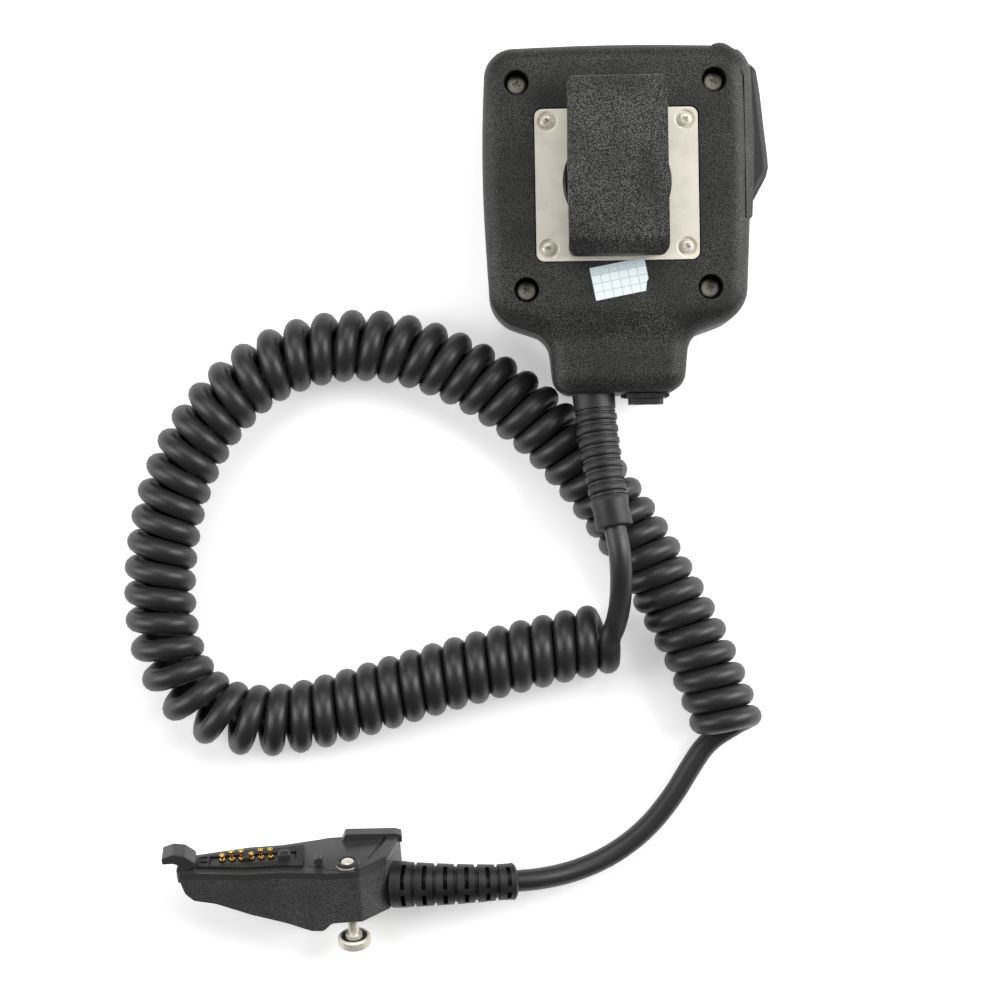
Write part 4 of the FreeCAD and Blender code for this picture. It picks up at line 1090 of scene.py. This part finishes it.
@dataclass
class JackCover:
    """Rubber flap over the earphone jack, hung from one edge."""

    near: float = -46.6
    left: float = 1.3
    right: float = 10.6
    middle: float = 19.5
    half: float = 4.6

    def build(self) -> None:
        """Makes the lip, the thinner cap on it, its rim and its finger tab."""
        face = -self.near
        lip = self.rounded(0.0, 0.9, face, face + 1.0)
        cap = self.rounded(0.8, 1.1, face + 0.8, face + 2.4)
        rim = self.rounded(1.9, 0.8, face + 2.15, face + 2.8)
        tab = Shape.slab([(self.left - 0.9, self.middle - 1.6, 0.6), (self.left + 1.2, self.middle - 1.6, 0.1),
                          (self.left + 1.2, self.middle + 1.6, 0.1), (self.left - 0.9, self.middle + 1.6, 0.6)],
                         face + 0.1, face + 0.9).turn(ON_END)
        bead = Shape.disc(0.5, self.middle - self.half, self.middle + self.half, self.right, self.near - 0.5)
        for part in (cap, tab, bead):
            lip.change(Join.ADD, [part])
        lip.change(Join.CUT, [rim])
        lip.piece("jack_flap", "jack_cover", SOFT_RUBBER, "black_rubber", ["jack_cover"], edge=0.2, edge_steps=3)

    def rounded(self, inset: float, radius: float, near: float, far: float) -> Shape:
        """Rounded block standing on the neck's end.

        Args:
            inset: How far it stands inside the flap's outline.
            radius: Radius of its corners.
            near: Distance of its near face along -Y.
            far: Distance of its far face along -Y.

        Returns:
            The block.
        """
        x0, x1 = self.left + inset, self.right - inset
        z0, z1 = self.middle - self.half + inset, self.middle + self.half - inset
        return Shape.slab(four_corners(x0, z0, x1, z1, radius), near, far, steps=5).turn(ON_END)


@dataclass
class InspectionLabel:
    """Small paper label, stuck on askew, one corner of it clipped."""

    centre: Tuple[float, float] = (0.3, -21.5)
    half: Tuple[float, float] = (6.2, 3.7)
    turn: float = 10.5
    low: float = 30.0
    thickness: float = 0.12

    def build(self) -> None:
        """Makes the label."""
        x, y = self.half
        corners = [(-x, -y, 0.1), (x - 1.1, -y, 0.1), (x - 0.5, -y + 2.0, 0.1), (x, -y + 2.6, 0.1), (x, y, 0.1),
                   (-x, y, 0.1)]
        label = Shape.slab(corners, self.low, self.low + self.thickness, steps=2)
        label.turn(Matrix.Rotation(math.radians(self.turn), 4, "Z")).move(*self.centre)
        label.piece("paper_label", "housing", LABEL_PAPER, "label_paper", ["inspection_label"], edge=0.03,
                    edge_steps=1)


@dataclass
class CurlyCord:
    """Curly cord from the microphone to the plug, with the relief that it leaves the neck through."""

    diameter: float = 5.0
    curl_radius: float = 5.7
    turns: int = 60
    per_turn: int = 12
    relief_root: Place = (-5.8, -45.5, 19.5)
    relief_bend: float = 19.0
    inside: float = 8.0
    wire_length: float = 2.3
    # Control points of the straight lead, the curl's axis and the tail.
    lead: Tuple[Place, ...] = (
        (-1.6, -76.6, 24.0), (-0.6, -81.8, 25.0), (-0.3, -88.2, 23.6), (-0.6, -94.2, 19.4), (-1.5, -98.6, 15.4))
    curl: Tuple[Place, ...] = (
        (-0.5, -101.2, 8.2), (-12.0, -103.2, 8.2), (-28.5, -106.8, 8.2), (-46.0, -111.3, 8.2), (-62.5, -116.1, 8.2),
        (-78.0, -119.6, 8.2), (-90.5, -118.6, 8.2), (-99.4, -112.0, 8.2), (-104.2, -101.6, 8.2),
        (-105.2, -89.0, 8.2), (-103.8, -75.0, 8.2), (-99.6, -61.0, 8.2), (-91.8, -48.4, 8.2), (-80.6, -38.8, 8.2),
        (-66.8, -34.2, 8.2), (-51.5, -34.0, 8.2), (-36.0, -39.6, 8.2), (-21.5, -48.8, 8.2), (-8.6, -61.6, 8.2),
        (2.6, -77.4, 8.2), (12.2, -94.2, 8.2), (19.8, -109.8, 8.2), (24.9, -125.2, 8.2))
    tail: Tuple[Place, ...] = (
        (19.6, -126.0, 2.5), (15.8, -131.4, 2.5), (11.4, -138.6, 2.6), (5.2, -146.0, 2.8), (-3.0, -151.9, 3.6),
        (-11.8, -155.2, 5.6), (-19.6, -156.4, 8.4), (-25.2, -156.6, 9.6))

    def helix(self) -> List[Place]:
        """Works out the curl's turns round its axis.

        Returns:
            Control points of the turns, from the top of the first to the foot of the last.
        """
        line = read_line(self.curl)
        lead_in = self.diameter / 2
        spans = [(b - a).length for a, b in zip(line, line[1:])]
        total = sum(spans)
        slices = 2400
        step = (total - 2 * lead_in) / slices
        places, along = [], []
        travelled, index = 0.0, 0
        for i in range(slices + 1):
            want = lead_in + i * step
            while index < len(spans) - 1 and travelled + spans[index] < want:
                travelled += spans[index]
                index += 1
            share = (want - travelled) / spans[index]
            places.append(line[index].lerp(line[index + 1], share))
        window = int(6.0 / step)
        for i in range(slices + 1):
            ahead, behind = places[min(i + window, slices)], places[max(i - window, 0)]
            along.append((ahead - behind).normalized())
        bends = [along[min(i + window, slices)].angle(along[max(i - window, 0)])
                 / (step * (min(i + window, slices) - max(i - window, 0))) for i in range(slices + 1)]
        goal = math.tau * (self.turns + 0.5)
        slack, tight = 9.0, 4.0
        for _ in range(40):
            free = (slack + tight) / 2
            phases = self.phases(free, bends, step)
            slack, tight = (free, tight) if phases[-1] < goal else (slack, free)
        reach = self.curl_radius / math.cos(math.pi / self.per_turn)
        points = []
        index = 0
        for k in range(int(self.per_turn * (self.turns + 0.5)) + 1):
            phase = min(math.tau * k / self.per_turn, phases[-1])
            while index < slices - 1 and phases[index + 1] < phase:
                index += 1
            share = (phase - phases[index]) / (phases[index + 1] - phases[index])
            place = places[index].lerp(places[index + 1], share)
            across = Vector((0, 0, 1)).cross(along[index])
            points.append(place + reach * (math.cos(phase) * Vector((0, 0, 1)) + math.sin(phase) * across))
        return points

    def phases(self, free: float, bends: Sequence[float], step: float) -> List[float]:
        """Turns the pitch along the axis to the angle that the wire has wound.

        Args:
            free: Pitch where nothing presses the turns together, in millimetres.
            bends: Curvature of the axis at each step.
            step: Length of a step.

        Returns:
            The wound angle at each step.
        """
        wound = [0.0]
        count = len(bends)
        for i, bend in enumerate(bends[1:]):
            loose = 1 + 0.06 * max(0.0, (i / count - 0.86) / 0.14) + 0.02 * math.sin(0.11 * i) * math.sin(0.017 * i)
            room = (self.diameter + 0.06) / max(1 - self.curl_radius * bend, 0.5)
            wound.append(wound[-1] + math.tau * step / max(free * loose, room))
        return wound

    def relief_path(self) -> List[Vector]:
        """Returns the line of the strain relief, from inside the neck to where the cord leaves it."""
        end, after = Vector(self.lead[0]), Vector(self.lead[1])
        middle = end - (after - end).normalized() * self.relief_bend
        return read_line([self.relief_root, tuple(middle), tuple(end)])

    def build(self, pieces: Sequence[bpy.types.Object]) -> None:
        """Makes the strain relief and the cord.

        Args:
            pieces: The other separate pieces on the cord, its plug above all; not used.
        """
        path = self.relief_path()
        length = sum((b - a).length for a, b in zip(path, path[1:]))
        relief = Shape.sleeve(path, self.relief_profile(length))
        flange = Shape.disc(3.85, 42.2, 46.2, self.relief_root[0], self.relief_root[2]).turn(ON_END)
        relief.change(Join.ADD, [flange])
        boot = relief.piece("neck_relief", "housing", BOOT_RUBBER, "boot_rubber", ["strain_relief"], edge=0.08,
                            edge_steps=2, limit=40)
        into = (Vector(self.lead[0]) - Vector(self.lead[1])).normalized() * self.inside
        out = (Vector(self.tail[-1]) - Vector(self.tail[-2])).normalized() * self.inside
        route = [tuple(Vector(self.lead[0]) + into), *self.lead, *self.helix(), *self.tail,
                 tuple(Vector(self.tail[-1]) + out)]
        cord = spline_object("cord", route, 5)
        cord.data.bevel_depth = self.diameter / 2 * MM
        cord.data.bevel_resolution = 5
        cord.data.use_fill_caps = True
        cord.data.materials.append(JACKET.material())
        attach(cord, "housing")
        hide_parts("cord_lead", "curly_cord", "cord_tail")
        line = read_line(route)
        measured = sum((b - a).length for a, b in zip(line, line[1:])) * MM
        tuple(c * MM for c in self.lead[0])
        log.info("cord: %d control points, %.3f m long", len(route), measured)

    def relief_profile(self, length: float) -> List[Tuple[float, float]]:
        """Outline of the strain relief: a plain collar, eight double grooves and a plain sleeve.

        Args:
            length: Length of the relief's line.

        Returns:
            Distance and radius of each ring.
        """
        root, tip, first, rib_pitch, collar = 4.8, 4.0, 4.6, 2.72, 1.06
        rings = [(collar, root - 0.4), (collar + 0.05, root)]
        for i in range(8):
            at = first + i * rib_pitch
            full = root + (tip - root) * at / length
            rings += [(at, full), (at + 0.06, full - 0.5), (at + 0.38, full - 0.5), (at + 0.44, full - 0.12),
                      (at + 0.86, full - 0.12), (at + 0.92, full - 0.5), (at + 1.24, full - 0.5), (at + 1.3, full),
                      (at + 1.5, full + 0.1), (at + 2.5, full + 0.1)]
        rings += [(length - 4.6, tip + 0.05), (length - 0.6, tip + 0.2), (length - 0.1, tip), (length, tip - 0.4)]
        return rings


@dataclass
class SidePlug:
    """Side connector, made in its own frame: X along it, Y out of its contact face, Z across it."""

    place: Tuple[float, float] = (-62.93, -149.5)
    heading: float = 2.75
    tilt: float = 25.0
    tip: float = -38.8
    end: float = 12.2
    near_end: float = 2.4
    slant: Tuple[float, float] = (8.6, 3.0)
    heel: float = 15.3
    back: float = 13.1
    half_tip: float = 3.6
    half_waist: float = 5.9
    half_heel: float = 7.4
    half_end: float = 7.85
    face: float = 1.6
    rim: float = 1.2
    flange: float = 1.9
    first_contact: float = -28.4
    contact_pitch: float = 2.2
    screw_out: float = 18.6
    screw_across: float = 4.6
    screw_head: float = 3.75
    screw_thick: float = 2.4
    boot_depth: float = 8.6
    boot_start: float = 9.4

    def pose(self) -> Matrix:
        """Returns the matrix that lays the plug on the table on its heel."""
        lean = math.radians(self.tilt)
        height = self.heel * math.sin(lean) + self.half_heel * math.cos(lean)
        return (Matrix.Translation((*self.place, height)) @ Matrix.Rotation(math.radians(self.heading), 4, "Z")
                @ Matrix.Rotation(lean, 4, "X"))

    def lay(self, shape: Shape, name: str, finish: Finish, slot: str, replaces: Sequence[str] = (),
            body: str = "housing", edge: float = 0.15, edge_steps: int = 2, limit: float = 32.0) -> bpy.types.Object:
        """Lays a shape of the plug in its place and makes it a piece.

        Args:
            shape: The shape in the plug's frame.
            name: Name of the piece.
            finish: Its surface.
            slot: Its material slot.
            replaces: CAD nodes that it stands for.
            body: CAD body that it moves with.
            edge: Width of its edge rounding.
            edge_steps: Segments of that rounding.
            limit: Angle past which an edge is rounded.

        Returns:
            The piece.
        """
        return shape.turn(self.pose()).piece(name, body, finish, slot, replaces, edge, edge_steps, limit)

    def layer(self, low: float, high: float, inset: float = 0.0) -> Shape:
        """Slice of the plug between two depths, shaped by its plan and its side.

        Args:
            low: Depth of its lower face.
            high: Depth of its upper face.
            inset: How far its sides stand inside the plan.

        Returns:
            The slice.
        """
        half = [(self.tip, self.half_tip), (-35.0, self.half_tip + 0.4), (-22.5, self.half_waist),
                (-15.0, self.half_waist + 0.1), (-6.6, self.half_heel), (-4.5, self.half_end)]
        plan = [(a, -w, 1.2) for a, w in half]
        plan += [(self.end, -self.half_end, 1.2), (*self.slant, 1.2), (self.near_end, self.half_end, 1.2)]
        plan += [(a, w, 1.2) for a, w in reversed(half)]
        block = Shape.slab(plan, -high, -low, inset=inset, steps=5)
        return block.turn(ON_END)

    def build(self) -> List[bpy.types.Object]:
        """Makes every piece of the plug.

        Returns:
            The pieces.
        """
        return [*self.shell(), *self.contacts(), self.hook(), *self.thumbscrew(), self.boot()]

    def shell(self) -> List[bpy.types.Object]:
        """Makes the grained body and the smooth contact face with its rims, flange and end wall.

        Returns:
            The two pieces.
        """
        side = [(self.tip, 2.0, 0.0), (self.tip, 0.0, 0.0), (self.tip + 1.6, -5.4, 1.6), (self.tip + 3.4, -7.2, 1.4),
                (self.tip + 8.3, -7.9, 6.0), (-9.4, -self.heel, 2.8), (-6.6, -self.heel, 1.4),
                (-4.5, -self.back, 1.4), (self.end - 2.4, -self.back, 0.8), (self.end, -self.back + 2.6, 0.8),
                (self.end, 2.0, 0.0)]
        body = Shape.slab(side, -15, 15, steps=6).change(Join.COMMON, [self.layer(-30, -self.face - 0.04)])
        body.change(Join.CUT, [Shape.disc(1.35, 2, 30, 0.0, self.screw_across).turn(ON_END)])
        body.change(Join.CUT, [Shape.box((-34.0, -7.2, -2.6), (-6.5, 0.5, 2.6))])
        grained = self.lay(body, "plug_shell", PLUG_ABS, "plug_plastic", ["plug_body"], edge=0.6, edge_steps=3)

        plate = self.layer(-self.face, 0.0)
        near = self.layer(-0.3, self.rim, 1.1).change(Join.CUT, [self.layer(-1, self.rim + 1, 1.1 + 0.9)])
        near.slice((-5.4, 0, 0), (1, 0, 0), clear=True)
        plate.change(Join.ADD, [near])
        far = -self.half_end - 0.4
        wall = Shape.slab([(-1.8, -1.0, 0.0), (self.end, -1.0, 0.0), (self.end, self.flange - 1.1, 0.5),
                           (self.end - 1.6, self.flange - 0.6, 1.0), (-0.6, self.flange, 0.7)],
                          far, far + 2.6, steps=6)
        nib = [(-7.4, -0.5, 0.0), (-5.6, -0.5, 0.0), (-5.6, 2.2, 0.5), (-6.1, 2.7, 0.3), (-7.4, 2.2, 0.5)]
        stop = Shape.slab(nib, 2.6, 5.2)
        a, w = self.slant
        strip = [(self.end - 2.6, far + 0.6, 0.0), (self.end - 0.1, far + 0.6, 0.0), (a - 0.2, w, 0.6),
                 (self.near_end + 0.1, self.half_end - 0.3, 0.6), (self.near_end - 1.0, self.half_end - 1.5, 0.3),
                 (a - 2.2, w - 1.0, 0.6)]
        end = Shape.slab(strip, -0.55, 0.3).turn(ON_END)
        across = -self.screw_across
        collar = Shape.disc(2.75, -0.9, 1.2, 0.0, across, top_radius=2.45).turn(UP_OUT)
        for part in (wall, stop, end, collar):
            plate.change(Join.ADD, [part])
        plate.change(Join.CUT, [Shape.disc(1.8, -3, 3, 0.0, across).turn(UP_OUT)])
        window = Shape.box((-31.0, -3.0, -1.5), (-12.0, 1.0, 1.5))
        plate.change(Join.CUT, [window])
        for at, turn in (((-4.2, 0, 6.1), 1.15), ((6.4, 0, -1.6), -0.42)):
            place = Matrix.Translation(at) @ Matrix.Rotation(turn, 4, "Y")
            plate.change(Join.CUT, [Shape.box((-0.12, -0.35, -5.2), (0.12, 1, 5.2)).turn(place)])
        smooth = self.lay(plate, "plug_face", FACE_ABS, "plug_plastic", ["plug_cover"], edge=0.22, edge_steps=3)
        return [grained, smooth]

    def contacts(self) -> List[bpy.types.Object]:
        """Makes the insulator, gasket, key and the six gilt contacts.

        Returns:
            The pieces.
        """
        block = Shape.box((-31.0, -5.4, -1.48), (-12.0, 0.32, 1.48))
        holes = [Shape.disc(0.75, -4.4, 2, self.first_contact + i * self.contact_pitch, 0, steps=20).turn(UP_OUT)
                 for i in range(6)]
        rib = Shape.box((-23.2, 0.2, -0.9), (-22.6, 1.2, 0.9)).change(
            Join.ADD, [Shape.box((-23.5, 0.9, -0.9), (-22.3, 1.3, 0.9))])
        block.change(Join.CUT, holes).change(Join.ADD, [rib])
        insulator = self.lay(block, "contact_insulator", INNER_ABS, "inner_plastic", ["contact_block"], edge=0.08)
        mat_half = [(-34.2, 2.0), (-22.5, 3.8), (-15.0, 3.9), (-10.0, 4.6)]
        mat = Shape.slab(mirrored(mat_half, 0.4), -0.7, -0.02).turn(ON_END)
        mat.change(Join.CUT, [Shape.box((-31.3, -3, -1.8), (-11.7, 3, 1.8))])
        mat.change(Join.CUT, [Shape.box((-33.4, 0.2, z), (-31.9, 2, z + 0.7)) for z in (-1.9, 0.1)])
        gasket = self.lay(mat, "contact_mat", SOFT_RUBBER, "black_rubber", ["contact_gasket"], edge=0.08)
        key = Shape.box((-15.8, 0.34, -1.0), (-13.0, 1.5, 1.0))
        key.change(Join.ADD, [Shape.box((-15.2, 1.2, -0.6), (-13.4, 2.1, 0.4))])
        key_piece = self.lay(key, "plug_key", FACE_ABS, "inner_plastic", ["key_block"], edge=0.15)
        pins = []
        for i in range(6):
            reach = 2.2 if i % 3 == 0 else 3.0
            pins.append(Shape.turned([(0, -2.2), (0.48, -2.2), (0.48, 0.5), (0.62, 0.55), (0.62, 0.95), (0.36, 1.05),
                                      (0.36, reach - 0.75), (0.62, reach - 0.62), (0.62, reach - 0.2), (0.4, reach),
                                      (0, reach)], steps=20).turn(UP_OUT)
                        .move(self.first_contact + i * self.contact_pitch))
        gilt = self.lay(Shape.together(pins), "gilt_pins", GILT, "gilt_contact", ["contact_pins"], body="contacts",
                        edge=0.04)
        return [insulator, gasket, key_piece, gilt]

    def hook(self) -> bpy.types.Object:
        """Makes the hook at the plug's tip.

        Returns:
            The piece.
        """
        outline = [(-38.7, -3.0, 0.0), (-36.6, -3.0, 0.0), (-36.6, 0.0, 0.4), (-34.4, 0.9, 0.4), (-34.4, 2.0, 0.4),
                   (-36.6, 3.9, 0.5), (-39.2, 4.4, 0.8), (-41.8, 3.6, 0.5), (-41.8, 2.0, 0.4), (-39.4, 2.0, 0.8),
                   (-38.0, 1.4, 0.4), (-38.7, 0.6, 0.3)]
        shape = Shape.slab(outline, -2.7, 2.7, steps=4)
        return self.lay(shape, "plug_claw", FACE_ABS, "plug_plastic", ["plug_hook"], edge=0.25, edge_steps=3)

    def thumbscrew(self) -> List[bpy.types.Object]:
        """Makes the knurled thumbscrew and the dark ring set in its dish.

        Returns:
            The two pieces.
        """
        out, radius = self.screw_out, self.screw_head
        low = -out - self.screw_thick
        head = Shape.turned([(0, low), (radius - 0.5, low), (radius, low + 0.4), (radius, -out - 0.35),
                             (radius - 0.35, -out), (radius - 0.75, -out), (radius - 0.85, -out - 0.55),
                             (1.9, -out - 0.55), (1.8, -out + 0.25), (1.25, -out + 0.3), (1.25, -1.5), (1.6, -1.4),
                             (1.6, 0.8), (1.2, 1.15), (0, 1.2)], steps=64)
        flutes = [Shape.disc(0.16, low - 1, -out + 1, radius * math.cos(a), radius * math.sin(a), steps=6)
                  for a in (math.tau * i / 32 for i in range(32))]
        head.change(Join.CUT, flutes).turn(UP_OUT).move(z=self.screw_across)
        metal = self.lay(head, "knurled_screw", NICKEL, "nickel_screw", ["thumbscrew"], body="thumbscrew", edge=0.08)
        ring = Shape.disc(radius - 0.85, -out - 0.56, -out - 0.2).change(Join.CUT, [Shape.disc(1.95, -out - 1, -out)])
        ring.turn(UP_OUT).move(z=self.screw_across)
        dark = self.lay(ring, "screw_ring", SOFT_RUBBER, "black_rubber", body="thumbscrew", edge=0.06)
        return [metal, dark]

    def boot(self) -> bpy.types.Object:
        """Makes the plug's strain relief: full grooves with split slots between them.

        Returns:
            The piece.
        """
        lay = self.pose()
        root = lay @ Vector((self.boot_start, -self.boot_depth, 0))
        end, before = Vector((-25.2, -156.6, 9.6)), Vector((-19.6, -156.4, 8.4))
        middle = end + (end - before).normalized() * 13.0
        path = read_line([tuple(root), tuple(middle), tuple(end)])
        length = sum((b - a).length for a, b in zip(path, path[1:]))
        thick, thin, groove = 5.3, 3.9, 3.1

        def radius(at: float) -> float:
            """Radius of the boot's skin at a distance along it."""
            return thick + (thin - thick) * min(at / length, 1.0)

        rings = [(0.3, thick), (2.6, thick)]
        repeat, first_groove, first_slot = 4.6, 5.4, 3.2
        for i in range(5):
            at = first_groove + repeat * i
            edge, floor = radius(at), radius(at) - 0.55
            rings += [(at - 0.42, edge), (at - 0.28, floor), (at + 0.28, floor), (at + 0.42, edge)]
        rings += [(length - 1.4, thin + 0.25), (length - 0.5, thin + 0.35), (length, thin - 0.2)]
        sleeve = Shape.sleeve(path, rings)
        cuts = []
        for i in range(6):
            at = first_slot + repeat * i
            place = station(path, at, 1.0)
            reach = radius(at) - 0.45
            for low, high in ((-0.7, reach), (-reach, -2.05)):
                # A web along the middle keeps the slots from meeting through the boot.
                cuts += [Shape.box((low, near, -0.48), (high, near + 7.0, 0.48)).turn(place)
                         for near in (0.7, -7.7)]
        core = Shape.sleeve(path, [(0.2, groove), (length - 0.4, groove)])
        walls = [cut.change(Join.CUT, [core.copy()]) for cut in cuts]
        sleeve.change(Join.CUT, walls)
        core.mesh.free()
        return sleeve.piece("plug_relief", "housing", BOOT_RUBBER, "boot_rubber", ["plug_boot"], edge=0.1)


CAD_FINISHES: Dict[str, Finish] = {
    "housing_seal": SOFT_RUBBER, "swivel_washer": SPRING_STEEL, "swivel_screw": NICKEL, "clip_pin": SPRING_STEEL,
    "clip_spring": SPRING_STEEL, "ptt_switch": INNER_ABS, "ptt_plunger": INNER_ABS, "circuit_board": BOARD,
    "board_components": INNER_ABS, "speaker_felt": FELT, "speaker_frame": SPRING_STEEL, "speaker_cone": CONE_PAPER,
    "speaker_magnet": FERRITE, "microphone_boot": SOFT_RUBBER, "microphone_capsule": ALUMINIUM,
    "earphone_jack": INNER_ABS, "thumbscrew_washer": NICKEL, "screw_collar": NICKEL,
}


def dress_cad_nodes() -> None:
    """Gives every CAD node that stays in view its own finish."""
    for name, finish in CAD_FINISHES.items():
        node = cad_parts[name]
        node.data.materials.clear()
        node.data.materials.append(finish.material())
        log.info("%s: CAD node, %s", name, finish.name)


def main() -> None:
    """Builds the studio and every sub-assembly."""
    logging.basicConfig(level=logging.INFO, format="%(message)s")
    Studio().build()
    bar = TalkBar()
    Casing().build(bar.space, bar.stem_space)
    BeltClip().build()
    bar.build()
    JackCover().build()
    InspectionLabel().build()
    plug = SidePlug().build()
    nodes = [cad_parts[name] for name in ("thumbscrew_washer", "screw_collar")]
    CurlyCord().build([*plug, *nodes])
    dress_cad_nodes()


if __name__ == "__main__":
    main()
